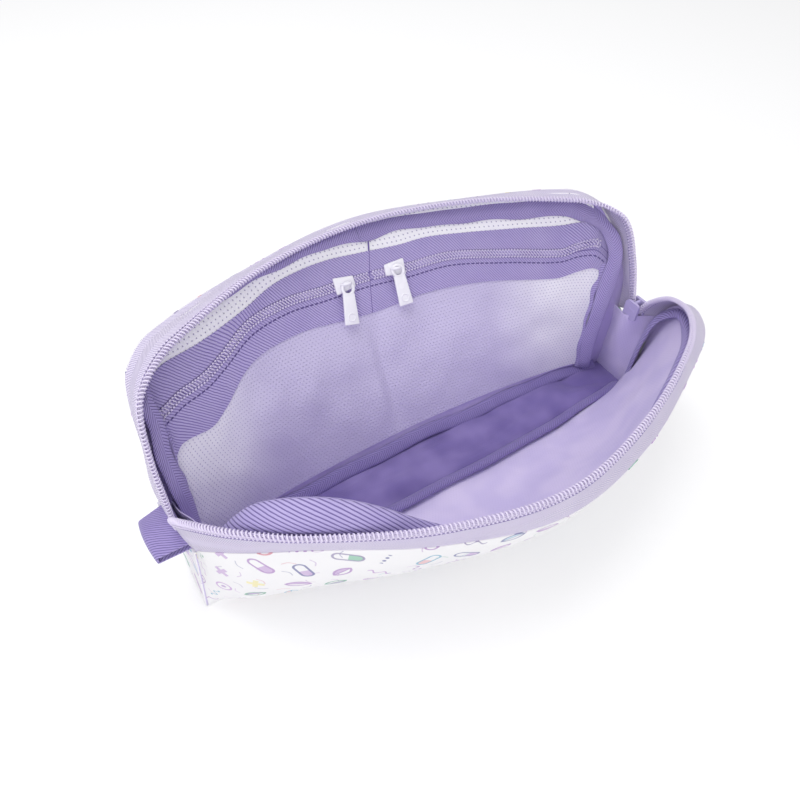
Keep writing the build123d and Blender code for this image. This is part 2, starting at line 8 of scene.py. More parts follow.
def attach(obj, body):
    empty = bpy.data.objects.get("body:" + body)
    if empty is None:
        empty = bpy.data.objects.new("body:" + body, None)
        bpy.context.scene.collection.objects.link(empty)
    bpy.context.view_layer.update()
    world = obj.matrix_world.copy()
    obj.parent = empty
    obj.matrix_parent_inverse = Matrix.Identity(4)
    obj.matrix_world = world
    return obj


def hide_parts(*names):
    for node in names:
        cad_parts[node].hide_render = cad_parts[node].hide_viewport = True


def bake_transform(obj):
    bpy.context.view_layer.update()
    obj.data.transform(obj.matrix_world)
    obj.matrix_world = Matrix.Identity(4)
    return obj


# A soft zip case for a stethoscope, standing open on its bottom gusset. X runs along the case,
# -Y is the front panel, +Y the back panel with the pocket, Z is up. The frame is in metres and
# the sewing sizes below are in millimetres.
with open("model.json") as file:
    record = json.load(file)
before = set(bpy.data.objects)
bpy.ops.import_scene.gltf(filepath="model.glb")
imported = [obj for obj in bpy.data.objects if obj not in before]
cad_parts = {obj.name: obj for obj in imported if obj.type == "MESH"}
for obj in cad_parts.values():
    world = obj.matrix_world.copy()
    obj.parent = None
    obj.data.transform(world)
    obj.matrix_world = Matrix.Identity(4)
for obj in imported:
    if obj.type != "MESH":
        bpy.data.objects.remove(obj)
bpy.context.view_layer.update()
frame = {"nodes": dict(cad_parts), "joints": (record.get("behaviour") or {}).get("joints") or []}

# ----------------------------------------
# Camera, table and lamps. The case is seen from above its front left corner, on a white table,
# under a broad soft lamp overhead and a soft lamp from the front left.
EYE = Vector((-0.12644, -0.1649, 0.28125))
YAW, PITCH, ROLL = 0.5658, 0.8411, 0.0236
SENSOR_MM = 36
FOCUS_WIDTHS = 648.9 / 800     # focal length as a share of the picture's width
TABLE_WHITE = (0.84, 0.84, 0.85, 1)
TABLE_GLOW = 0.2
ROOM_LIGHT = 0.86
ahead = Vector((sin(YAW) * cos(PITCH), cos(YAW) * cos(PITCH), -sin(PITCH)))
level = Vector((cos(YAW), -sin(YAW), 0))
over = level.cross(ahead)
view_right = level * cos(ROLL) + over * sin(ROLL)
view_up = over * cos(ROLL) - level * sin(ROLL)
lens = bpy.data.cameras.new("camera")
lens.sensor_width = SENSOR_MM
lens.lens = SENSOR_MM * FOCUS_WIDTHS
lens.clip_start = 0.005
camera = bpy.data.objects.new("camera", lens)
bpy.context.scene.collection.objects.link(camera)
camera.matrix_world = Matrix((
    (view_right.x, view_up.x, -ahead.x, EYE.x),
    (view_right.y, view_up.y, -ahead.y, EYE.y),
    (view_right.z, view_up.z, -ahead.z, EYE.z),
    (0, 0, 0, 1)))
bpy.context.scene.camera = camera
bpy.context.scene.view_settings.view_transform = "Standard"


class Nodes:
    """The nodes of a material or a world; one method makes them all."""

    def __init__(self, owner):
        owner.use_nodes = True
        self.tree = owner.node_tree

    def node(self, kind, settings=None, sockets=None, out=0):
        made = self.tree.nodes.new(kind)
        for key, value in (settings or {}).items():
            if key == "stops":
                while len(made.color_ramp.elements) < len(value):
                    made.color_ramp.elements.new(1.0)
                for stop, (at, colour) in zip(made.color_ramp.elements, value):
                    stop.position = at
                    stop.color = colour
            elif key == "steps":
                made.color_ramp.interpolation = value
            else:
                setattr(made, key, value)
        for key, value in (sockets or {}).items():
            if isinstance(value, Value):
                self.tree.links.new(value.socket, made.inputs[key])
            else:
                made.inputs[key].default_value = value
        return Value(self, made.outputs[out]) if made.outputs else None

    def next_out(self, value, out):
        """Another output of the node that the value comes from."""
        return Value(self, value.socket.node.outputs[out])

    def seen_by(self, ray):
        """1 for the camera and for the ray named here."""
        camera_ray = self.node("ShaderNodeLightPath", out="Is Camera Ray")
        return camera_ray.most(self.next_out(camera_ray, ray))


class Value:
    """One number of a node tree; arithmetic on it adds Math nodes."""

    def __init__(self, nodes, socket):
        self.nodes = nodes
        self.socket = socket


def math_node(kind, swapped=False):
    """A method of Value that adds one Math node for itself and the other number, if any."""
    def method(value, *other):
        numbers = (value, *other)
        numbers = numbers[::-1] if swapped else numbers
        return value.nodes.node("ShaderNodeMath", {"operation": kind}, dict(enumerate(numbers)))
    return method


for method, kind in (("__add__", "ADD"), ("__radd__", "ADD"), ("__sub__", "SUBTRACT"),
                     ("__mul__", "MULTIPLY"), ("__rmul__", "MULTIPLY"), ("__truediv__", "DIVIDE"),
                     ("__lt__", "LESS_THAN"), ("__gt__", "GREATER_THAN"), ("__abs__", "ABSOLUTE"),
                     ("floor", "FLOOR"), ("fract", "FRACT"), ("sine", "SINE"),
                     ("cosine", "COSINE"), ("most", "MAXIMUM"), ("least", "MINIMUM"),
                     ("root", "SQRT")):
    setattr(Value, method, math_node(kind))
Value.__rsub__ = math_node("SUBTRACT", swapped=True)


def bare_nodes(owner):
    """The nodes of a material or a world, without those it starts with."""
    nodes = Nodes(owner)
    nodes.tree.nodes.clear()
    return nodes


bpy.ops.object.select_all(action="DESELECT")
bpy.ops.mesh.primitive_plane_add(size=8, location=(0, 0, 0))
table_top = bpy.context.object
table_top.name = "table_top"
table_white = bpy.data.materials.new("table_white")
table_top.data.materials.append(table_white)
white = bare_nodes(table_white)
paper = white.node("ShaderNodeBsdfDiffuse", {}, {"Color": TABLE_WHITE})
glow = white.node("ShaderNodeEmission", {},
                  {"Strength": white.seen_by("Is Glossy Ray") * TABLE_GLOW})
both = white.node("ShaderNodeAddShader", {}, {0: paper, 1: glow})
white.node("ShaderNodeOutputMaterial", {}, {"Surface": both})

studio = bpy.data.worlds.new("studio")
bpy.context.scene.world = studio
sky = bare_nodes(studio)
room = sky.node("ShaderNodeBackground", {}, {"Strength": ROOM_LIGHT})
backdrop = sky.node("ShaderNodeBackground", {}, {"Strength": 1.0})
lit = sky.node("ShaderNodeMixShader", {},
               {0: sky.seen_by("Is Transmission Ray"), 1: room, 2: backdrop})
sky.node("ShaderNodeOutputWorld", {}, {"Surface": lit})


def hang_lamp(name, place, aim, size, power):
    """A square soft lamp that looks at aim."""
    lamp = bpy.data.lights.new(name, "AREA")
    lamp.size = size
    lamp.energy = power
    hung = bpy.data.objects.new(name, lamp)
    bpy.context.scene.collection.objects.link(hung)
    hung.location = place
    hung.rotation_euler = (Vector(aim) - Vector(place)).to_track_quat("-Z", "Y").to_euler()


hang_lamp("broad_lamp", (-0.15, 0.25, 1.1), (0, 0, 0), 0.7, 4.2)
hang_lamp("front_lamp", (-0.75, -1.0, 0.7), (0, 0, 0.03), 0.7, 5.8)

# ----------------------------------------
# Sewing lines. Each panel is sewn to the bottom gusset along a straight foot, and its rim is the
# line where the zip tape is sewn on. The two rows of the zip stand open above the rims and meet
# at both ends of the case. Stops are (share of the half length, x, y, z), in mm.
HALF = 131
SEAM_Y = 15


def both_ways(right_side):
    """The stops of a line that is alike on the left and on the right."""
    return [(-s, -x, y, z) for s, x, y, z in reversed(right_side) if s > 0] + right_side


FRONT_RIM = [(-1, -126.5, -13, 42), (-0.93, -125.5, -19.5, 52.5), (-0.82, -123.5, -28, 63),
             (-0.7, -111, -42, 72), (-0.56, -91, -54, 74), (-0.3, -49, -75, 71),
             (0, 0, -88, 69), (0.3, 51, -80, 71), (0.56, 95, -61, 76), (0.7, 119, -47, 76),
             (0.82, 136, -28, 70), (0.93, 141, -15, 60), (1, 138, -8, 46)]
FRONT_ZIP = both_ways([(0, 0, -85, 83), (0.3, 49, -75, 84), (0.56, 92, -56, 87),
                       (0.7, 113, -39, 84), (0.82, 126, -20, 74), (0.93, 130, -7, 61),
                       (1, 129.5, -1.6, 50)])
BACK_RIM = both_ways([(0, 0, 86, 102), (0.3, 59, 75, 101), (0.56, 110, 51, 104),
                      (0.64, 123, 40, 99.5), (0.7, 127, 31, 91), (0.82, 129, 22, 75),
                      (0.93, 132, 16, 56), (1, 131, 12, 44)])
BACK_ZIP = both_ways([(0, 0, 74, 106), (0.3, 55, 64, 106), (0.56, 102, 39, 106),
                      (0.64, 116, 28, 104), (0.7, 124, 19, 98), (0.82, 128, 10, 78),
                      (0.93, 129, 4, 60), (1, 129.5, 1.6, 50)])


def on_line(stops, share):
    """Place on the smooth line through the stops."""
    at = 0
    while at < len(stops) - 2 and share > stops[at + 1][0]:
        at += 1
    a, b = stops[at], stops[at + 1]
    before, after = stops[max(at - 1, 0)], stops[min(at + 2, len(stops) - 1)]
    pa, pb = Vector(a[1:]), Vector(b[1:])
    gap = b[0] - a[0]
    ma = (pb - Vector(before[1:])) * gap / (b[0] - before[0])
    mb = (Vector(after[1:]) - pa) * gap / (after[0] - a[0])
    u = (share - a[0]) / gap
    return (pa * (2 * u**3 - 3 * u**2 + 1) + ma * (u**3 - 2 * u**2 + u)
            + pb * (3 * u**2 - 2 * u**3) + mb * (u**3 - u**2))


def bump(value, middle, reach):
    """1 at middle, falling smoothly to 0 at reach either side."""
    x = min(1.0, abs(value - middle) / reach)
    return (1 - x * x) ** 2


def ease(value, low, high):
    """0 below low, 1 above high, smooth between."""
    x = min(1.0, max(0.0, (value - low) / (high - low)))
    return x * x * (3 - 2 * x)


def span(low, high, count):
    return [low + (high - low) * i / count for i in range(count + 1)]


class Panel:
    """Outer face of a panel: share goes from -1 at the left to 1 at the right, and up from 0 at
    the foot to 1 at the rim."""

    def __init__(self, side, rim, power, sag, end_belly, mid_belly):
        self.side = side
        self.rim = rim
        self.power = power
        self.sag = sag
        self.end_belly = end_belly
        self.mid_belly = mid_belly

    def face(self, share, up):
        foot_share = share * (1 + 0.45 * (1 - share * share))
        foot = Vector((HALF * foot_share, self.side * SEAM_Y, 1))
        head = on_line(self.rim, share)
        near_end = ease(head.z, 40, 80)
        crown = max(0.0, 1 - (abs(head.x) / HALF) ** self.power)
        end = self.end_belly[share > 0]
        out = end[0] * (1 - crown) * near_end + self.mid_belly[0] * crown
        crown = max(0.0, 1 - (abs(head.x) / HALF) ** self.sag[share > 0])
        rise = end[1] * (1 - crown) * near_end + self.mid_belly[1] * crown
        pull = (foot + head) / 2 + Vector((0, self.side * out, rise))
        low = 1 - up
        return foot * low * low + pull * 2 * low * up + head * up * up

    def inward(self, share, up):
        """Unit vector into the case, square to the face."""
        step = 0.004
        along = self.face(min(share + step, 1), up) - self.face(max(share - step, -1), up)
        rise = self.face(share, min(up + step, 1)) - self.face(share, max(up - step, 0))
        return along.cross(rise).normalized() * self.side

    def layer(self, share, up, depth):
        return self.face(share, up) + self.inward(share, up) * depth

    def share_at(self, x, up):
        """The share whose point at this height has this x."""
        low, high = -1.0, 1.0
        for _ in range(24):
            mid = (low + high) / 2
            if self.face(mid, up).x < x:
                low = mid
            else:
                high = mid
        return (low + high) / 2


front = Panel(side=-1, rim=FRONT_RIM, power=2.4, sag=(1.6, 1.5),
              end_belly=((14, -13), (-3, 2)), mid_belly=(19.8, -31))
back = Panel(side=1, rim=BACK_RIM, power=1.7, sag=(1.7, 1.7),
             end_belly=((-7.5, 4), (-7.5, 4)), mid_belly=(5.5, 9))

# ----------------------------------------
# Front cover: printed polyester cloth, in one piece from the bottom seam to the zip tape, made here
# in a left and a right half that meet at the middle.
MM = 0.001
HANDS = ((-1, "left"), (1, "right"))
LEAST_FLAT = 0.01           # least width of a cut piece's flat size, in metres
CLOTH_THICK = 0.9
MOTIF_SQUARE = 12.5
MOTIF_SCALE = 1.25
LINE_DYES = ((0.0, "B48CC8"), (0.3, "6C6FA6"), (0.45, "C7A0D6"), (0.6, "5FA98C"), (0.7, "9A8FB5"),
             (0.8, "D98C9C"), (0.9, "7FB6D0"))
WASH_DYES = ((0.0, "C9A8DA"), (0.35, "BFE0EC"), (0.5, "B98FD0"), (0.62, "7CC3A3"), (0.75, "F3E9A2"),
             (0.86, "EDB9BE"))


def piece_from(net, name):
    """Makes the net a piece of the scene."""
    mesh = bpy.data.meshes.new(name)
    net.to_mesh(mesh)
    net.free()
    piece = bpy.data.objects.new(name, mesh)
    bpy.context.scene.collection.objects.link(piece)
    return piece


def middle_of(columns):
    """Number of the column nearest the middle of the case."""
    return min(range(len(columns)), key=lambda i: abs(columns[i]))


def run_along(points, zero=0):
    """Length along the points, counted from the one numbered zero."""
    run = [0.0]
    for a, b in zip(points, points[1:]):
        run.append(run[-1] + (b - a).length)
    return [d - run[zero] for d in run]


def lay_cloth(name, place, columns, rows, thick, grow):
    """A net of quads through place(column, row), with UVs in mm measured along the cloth. Its
    thickness is laid to one side, which grow gives as -1 or 1."""
    points = [[place(c, r) for c in columns] for r in rows]
    along = [run_along(line, middle_of(columns)) for line in points]
    across = list(zip(*(run_along(column) for column in zip(*points))))
    net = bmesh.new()
    uv = net.loops.layers.uv.new("cloth")
    dots = [[net.verts.new(p * MM) for p in line] for line in points]
    for j in range(len(rows) - 1):
        for i in range(len(columns) - 1):
            spots = ((i, j), (i + 1, j), (i + 1, j + 1), (i, j + 1))
            quad = net.faces.new([dots[b][a] for a, b in spots])
            quad.smooth = True
            for loop, (a, b) in zip(quad.loops, spots):
                loop[uv].uv = (along[b][a], across[b][a])
    piece = piece_from(net, name)
    wall = piece.modifiers.new("wall", "SOLIDIFY")
    wall.thickness = thick * MM
    wall.offset = grow
    apply_all(piece)
    lengths = [line[-1] - line[0] for line in along]
    widths = across[-1]
    piece["cut"] = (sum(widths) / len(widths) * MM, sum(lengths) / len(lengths) * MM)
    return piece


def select_only(piece):
    bpy.ops.object.select_all(action="DESELECT")
    bpy.context.view_layer.objects.active = piece
    piece.select_set(True)


def apply_all(piece):
    """Applies every modifier of the piece, and shades its gentle curves smooth."""
    select_only(piece)
    for modifier in list(piece.modifiers):
        bpy.ops.object.modifier_apply(modifier=modifier.name)
    bpy.ops.object.shade_smooth_by_angle(angle=0.9)
    piece.select_set(False)


def sew(piece, finish, slot, body, nodes):
    """Gives a cloth piece its finish and its body, if any, hides the nodes it stands for and works
    out its cut size.
    """
    piece.data.materials.append(finish)
    if body:
        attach(piece, body)
    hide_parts(*nodes)
    width, length = piece["cut"]
    cut = width * length if min(width, length) < LEAST_FLAT else None
    flat = (max(width, LEAST_FLAT), max(length, LEAST_FLAT))


def cross_bend(piece):
    """Bakes the piece's place into its mesh."""
    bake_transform(piece)


def sew_halves(wall, part, place, reach, columns, rows, thick, grow, finish, slot):
    """One cloth of a panel, in a left and a right half that meet at the middle."""
    for hand, word in HANDS:
        shares = sorted(hand * s for s in span(0, reach, columns))
        name = f"{wall}_{part}_{word}_half"
        piece = lay_cloth(name, place, shares, span(0, 1, rows), thick, grow)
        sew(piece, finish, slot, None, (f"{wall}_{part}", f"{wall}_{part}_wings"))
        cross_bend(piece)


class Finish(Nodes):
    """One material, whose nodes lead to a Principled shader."""

    def __init__(self, name, roughness, sheen=0.0, specular=0.3):
        self.material = bpy.data.materials.new(name)
        super().__init__(self.material)
        self.shader = self.tree.nodes["Principled BSDF"]
        self.shader.inputs["Roughness"].default_value = roughness
        self.shader.inputs["Sheen Weight"].default_value = sheen
        self.shader.inputs["Specular IOR Level"].default_value = specular

    def place(self):
        """Place in the piece, in metres."""
        return self.node("ShaderNodeTexCoord", out=3)

    def cloth_place(self):
        """Place on the cloth in mm: along it and across it."""
        uv = self.node("ShaderNodeUVMap", {"uv_map": "cloth"})
        split = self.node("ShaderNodeSeparateXYZ", {}, {0: uv})
        return split, self.next_out(split, 1)

    def soft(self, value, low, high):
        """0 at low and 1 at high, smooth between."""
        return self.node("ShaderNodeMapRange", {"interpolation_type": "SMOOTHSTEP"},
                         {0: value, 1: low, 2: high, 3: 0.0, 4: 1.0})

    def mix(self, share, first, second):
        return self.node("ShaderNodeMix", {"data_type": "RGBA"},
                         {0: share, 6: first, 7: second}, out=2)

    def pick_dye(self, dyes, share):
        """One of the dyes, each written as (share where it starts, rrggbb)."""
        stops = [(at, tint(code)) for at, code in dyes]
        return self.node("ShaderNodeValToRGB", {"stops": stops, "steps": "CONSTANT"}, {0: share})

    def cloud(self, x, y, size, detail=2.0):
        """Soft uneven patches about size mm across."""
        spot = self.node("ShaderNodeCombineXYZ", {}, {0: x / size, 1: y / size})
        return self.node("ShaderNodeTexNoise", {"noise_dimensions": "2D"},
                         {"Vector": spot, "Scale": 1.0, "Detail": detail})

    def paint(self, colour):
        if isinstance(colour, Value):
            self.tree.links.new(colour.socket, self.shader.inputs["Base Color"])
        else:
            self.shader.inputs["Base Color"].default_value = colour

    def emboss(self, height, depth):
        """Raises the surface by height times depth, in mm."""
        raised = self.node("ShaderNodeBump", {}, {"Strength": 1.0, "Distance": depth * MM,
                                                  "Height": height})
        self.tree.links.new(raised.socket, self.shader.inputs["Normal"])

    def dull(self, roughness):
        self.tree.links.new(roughness.socket, self.shader.inputs["Roughness"])


def tint(code):
    """Colour of a dye written as rrggbb."""
    parts = [int(code[i:i + 2], 16) / 255 for i in (0, 2, 4)]
    return tuple([c / 12.92 if c < 0.04045 else ((c + 0.055) / 1.055) ** 2.4 for c in parts] + [1])


def motif_cell(finish, x, y, size, seed):
    """Splits the cloth into squares: place in the square, turned at random, and three numbers."""
    gx = (x / size).floor()
    gy = (y / size).floor()
    key = finish.node("ShaderNodeCombineXYZ", {}, {0: gx, 1: gy, 2: seed})
    dice = finish.node("ShaderNodeTexWhiteNoise", {"noise_dimensions": "3D"}, {0: key}, out=1)
    split = finish.node("ShaderNodeSeparateColor", {}, {0: dice})
    pick = finish.next_out(split, 1)
    dye = finish.next_out(split, 2)
    turn = split * 6.283
    lx = (x / size - gx - 0.5) * size + (pick - 0.5) * 2.0
    ly = (y / size - gy - 0.5) * size + (dye - 0.5) * 2.0
    c, s = turn.cosine(), turn.sine()
    return lx * c + ly * s, ly * c - lx * s, pick, dye


def printed_cloth():
    """White satin cloth with small drawn motifs: rings, capsules, crosses, leaves and waves."""
    cloth = Finish("printed_cloth", 0.62, sheen=0.15)
    x, y = cloth.cloth_place()
    px, py, pick, dye = motif_cell(cloth, x / MOTIF_SCALE, y / MOTIF_SCALE, MOTIF_SQUARE,
                                   seed=3.0)
    ax, ay = abs(px), abs(py)
    reach = (px * px + py * py).root()
    line = 0.26
    ring = cloth.soft(abs(reach - 3.0), line + 0.3, line)
    ring_core = cloth.soft(reach, 1.2, 0.9)
    stick = (ax - 2.8).most(0.0)
    tube = (stick * stick + py * py).root()
    capsule = cloth.soft(abs(tube - 1.9), line + 0.25, line)
    capsule_fill = cloth.soft(tube, 1.9, 1.7) * cloth.soft(px, 0.0, 0.15)
    cross = cloth.soft(ax.most(ay), 3.1, 2.9) * cloth.soft(ax.least(ay), 1.0, 0.8)
    lobe = ay + 2.9
    leaf_edge = (px * px + lobe * lobe).root()
    leaf = cloth.soft(abs(leaf_edge - 5.0), line + 0.25, line).most(
        cloth.soft(ay, 0.35, 0.15) * cloth.soft(ax, 4.2, 4.0))
    leaf_fill = cloth.soft(leaf_edge, 5.0, 4.8) * cloth.soft(py, 0.0, 0.2)
    wave = cloth.soft(abs(py - (px * 1.25).sine() * 1.1), line + 0.3, line)
    wave = wave * cloth.soft(ax, 5.0, 4.7)
    bead = ((px / 2.4).fract() - 0.5) * 2.4
    beads = cloth.soft((bead * bead + py * py).root(), 0.75, 0.55) * cloth.soft(ax, 3.7, 3.5)
    outline = (ring * (pick < 0.14) + capsule * (pick > 0.14) * (pick < 0.38)
               + leaf * (pick > 0.38) * (pick < 0.62) + wave * (pick > 0.62) * (pick < 0.8)
               + beads * (pick > 0.8) * (pick < 0.88))
    fill = (ring_core * (pick < 0.14) + capsule_fill * (pick > 0.14) * (pick < 0.38)
            + leaf_fill * (pick > 0.38) * (pick < 0.62) + cross * (pick > 0.88))
    drawn = cloth.pick_dye(LINE_DYES, dye)
    washed = cloth.pick_dye(WASH_DYES, dye)
    qx, qy, pick2, dye2 = motif_cell(cloth, x + 5.3, y + 4.1, 9.6, seed=11.0)
    dash = cloth.soft(abs(qy + (qx * 0.9).cosine() * 0.6), 0.42, 0.18)
    dash = dash * cloth.soft(abs(qx), 3.0, 2.7) * (pick2 > 0.45)
    dash_dye = cloth.pick_dye(LINE_DYES, dye2)
    ground = cloth.mix(cloth.cloud(x, y, 30), tint("F4F3F7"), tint("FCFBFD"))
    colour = cloth.mix(dash * 0.45, ground, dash_dye)
    colour = cloth.mix(fill.least(1.0) * 0.75, colour, washed)
    colour = cloth.mix(outline.least(1.0) * 0.85, colour, drawn)
    cloth.paint(colour)
    weave = (x * 8.0).sine() * (y * 8.0).sine()
    cloth.emboss(weave * 0.5 + cloth.cloud(x, y, 9) * 1.5, 0.12)
    return cloth.material


print_finish = printed_cloth()
sew_halves("front", "cover", front.face, reach=1, columns=56, rows=22, thick=CLOTH_THICK,
           grow=-1, finish=print_finish, slot="printed_cloth")

# ----------------------------------------
# Back cover: the same printed cloth on the back panel, from the bottom seam to the zip tape.
sew_halves("back", "cover", back.face, reach=1, columns=56, rows=22, thick=CLOTH_THICK,
           grow=1, finish=print_finish, slot="printed_cloth")

# ----------------------------------------
# Foam boards: 2 mm closed-cell foam between the cover and the lining of each panel. They are
# hidden when the case is whole, and stop short of the rim.
BOARD_DEPTH = 1.0
BOARD_THICK = 1.9
INNER_REACH = 0.985         # share of the half length that boards and linings take


def foam_board():
    foam = Finish("foam_board", 0.9)
    cells = foam.node("ShaderNodeTexVoronoi", {}, {"Vector": foam.place(), "Scale": 900.0})
    foam.paint(foam.mix(cells, tint("D9D4E6"), tint("F2F0F7")))
    foam.emboss(cells, 0.15)
    return foam.material


foam_finish = foam_board()
for panel, wall in ((front, "front"), (back, "back")):
    sew_halves(wall, "board", lambda s, v, p=panel: p.layer(s, 0.02 + 0.95 * v, BOARD_DEPTH),
               reach=INNER_REACH, columns=40, rows=14, thick=BOARD_THICK, grow=panel.side,
               finish=foam_finish, slot="foam_board")

# ----------------------------------------
# Lining: smooth lilac taffeta inside each panel, laid over the foam, with the soft folds of a
# cloth that is a little larger than the board under it.
LINING_DEPTH = 3.1
LINING_THICK = 0.5
PUFF = (-0.56, 0.36)        # where the front binding stands away from the rim, and how far along


def staggered(x, y, wide, high):
    """Place from the middle of a brick, in rows of bricks wide by high."""
    shift = ((y / high).floor() / 2).fract()
    return ((x / wide + shift).fract() - 0.5) * wide, ((y / high).fract() - 0.5) * high


def taffeta(name, bright, dark):
    """Close plain weave with a faint row of pin holes."""
    cloth = Finish(name, 0.58, sheen=0.25)
    x, y = cloth.cloth_place()
    du, dv = staggered(x, y, 1.6, 1.3)
    pin = cloth.soft((du * du * 3.0 + dv * dv).root(), 0.5, 0.25)
    ground = cloth.mix(cloth.soft(cloth.cloud(x, y, 26), 0.3, 0.75), tint(dark), tint(bright))
    cloth.paint(cloth.mix(pin * 0.1, ground, tint("8877B4")))
    weave = (x * 9.0).sine() * (y * 9.0).sine()
    cloth.emboss(weave * 0.3 - pin * 0.25 + cloth.cloud(x, y, 14) * 2.5, 0.16)
    return cloth.material


lining_finish = taffeta("lining_taffeta", "C3B6E4", "B3A4DA")
# The front and end linings use a lighter copy of the same taffeta: painted light on the inside of
# the case.
lining_painted_light_finish = taffeta("lining_taffeta_painted_light", "E7DCFB", "D9CEF4")


def folds(point, amount, size=0.028, along=(1.0, 1.0, 1.0)):
    """Height of soft cloth folds at a place, in mm."""
    spot = Vector((point.x * size * along[0], point.y * size * along[1], point.z * size * along[2]))
    return amount * (noise.noise(spot) + 0.5 * noise.noise(spot * 2.3 + Vector((3, 1, 7))))


def puff(share):
    """How far the front binding stands out, 0 to 1."""
    return bump(share, *PUFF)


def front_lining(share, up):
    up = 0.015 + 0.955 * up
    point = front.face(share, up)
    depth = LINING_DEPTH + max(0.0, 0.5 + folds(point, 2.0)) * ease(up, 0.02, 0.15)
    point = point + front.inward(share, up) * depth
    zip_row = on_line(FRONT_ZIP, share)
    raised = zip_row + front.inward(share, 0.8) * 9 + Vector((0, 0, 1))
    return point.lerp(raised, 0.9 * puff(share) * ease(up, 0.72, 0.97))


def back_lining(share, up):
    up = 0.015 + 0.965 * up
    point = back.face(share, up)
    depth = LINING_DEPTH + (0.25 + abs(folds(point, 0.5))) * ease(up, 0.02, 0.15)
    return point + back.inward(share, up) * depth


sew_halves("front", "lining", front_lining, reach=INNER_REACH, columns=56, rows=32,
           thick=LINING_THICK, grow=-1, finish=lining_painted_light_finish, slot="lining")
sew_halves("back", "lining", back_lining, reach=INNER_REACH, columns=56, rows=32,
           thick=LINING_THICK, grow=1, finish=lining_finish, slot="lining")

# ----------------------------------------
# Zip tapes: woven herringbone tape, 13 mm wide, sewn to the rim of each panel with the row of
# coil along its free edge.
TAPE_THICK = 0.6


def herringbone(name, bright, dark, gap, column, pitch, slope=1.0, stitched=(), thin=0.4):
    """Woven tape whose ribs run to and fro in columns across its width; stitched gives, for each
    sewn line, its distance from the first edge, its width, its dye and the run of one stitch."""
    tape = Finish(name, 0.6, sheen=0.2)
    x, y = tape.cloth_place()
    zigzag = abs((y / (2 * column)).fract() * 2 - 1) * column * slope
    rib = ((x + zigzag + tape.cloud(x, y, 4) * 0.5) / pitch).fract()
    ridge = 1 - abs(rib * 2 - 1)
    ridge = tape.soft(ridge, 0.02, thin)
    ground = tape.mix(tape.cloud(x, y, 18), tint(dark), tint(bright))
    colour = tape.mix(ridge, tint(gap), ground)
    height = ridge
    for far, wide, dye, dash in stitched:
        line = tape.soft(abs(y - far), wide, wide * 0.4)
        if dash:
            line = line * ((x / dash).fract() < 0.7)
        colour = tape.mix(line * 0.9, colour, tint(dye))
        height = height - line * 1.5
    tape.paint(colour)
    tape.emboss(height, 0.25)
    return tape.material


tape_finish = herringbone("zip_tape", "E9E2F5", "DCD3EF", "C6BBE3", column=3.6, pitch=1.05,
                          stitched=((3.3, 0.5, "8573BB", None),), thin=0.55)


def zip_tape(panel, zip_line, share, across):
    """From the coil, at 0, to the seam of the panel, at 1."""
    coil = on_line(zip_line, share)
    seam = panel.layer(share, 1.0, 0.35)
    run = seam - coil
    coil = coil - run.normalized() * 0.6
    bow = panel.inward(share, 1.0) * -1.0 * sin(pi * across)
    ripple = Vector((0, 0, 0.35 * sin(share * 31) * sin(pi * across)))
    return coil.lerp(seam, across) + bow + ripple


WALLS = (("front", front, FRONT_ZIP), ("back", back, BACK_ZIP))
for wall, panel, line in WALLS:
    sew_halves(wall, "tape", lambda s, v, p=panel, z=line: zip_tape(p, z, s, v),
               reach=1, columns=80, rows=8, thick=TAPE_THICK, grow=-panel.side,
               finish=tape_finish, slot="zip_tape")

# ----------------------------------------
# Coils: each row of the zip is one nylon thread wound round a cord and sewn to its tape with a
# row of chain stitches.
TOOTH = 1.6
COIL = {"wide": 1.35, "high": 0.95, "thread": 0.40, "stitch_at": 2.25}


def nylon(name, bright, dark):
    thread = Finish(name, 0.34, specular=0.5)
    grain = thread.node("ShaderNodeTexNoise", {}, {"Vector": thread.place(), "Scale": 700.0})
    thread.paint(thread.mix(grain, tint(dark), tint(bright)))
    thread.dull(thread.soft(grain, 0.0, 1.0) * 0.2 + 0.26)
    return thread.material


coil_finish = nylon("coil_nylon", "F1EAFC", "DCD0F2")


def shares_a_tooth_apart(place):
    """Shares from 0 to 1 whose places on the line are one tooth apart."""
    steps = 1500
    fine = [place(i / steps) for i in range(steps + 1)]
    shares, run, due = [], 0.0, TOOTH / 2
    for i in range(steps):
        step = (fine[i + 1] - fine[i]).length
        while run + step >= due:
            k = (due - run) / step
            shares.append((i + k) / steps)
            due += TOOTH
        run += step
    return shares


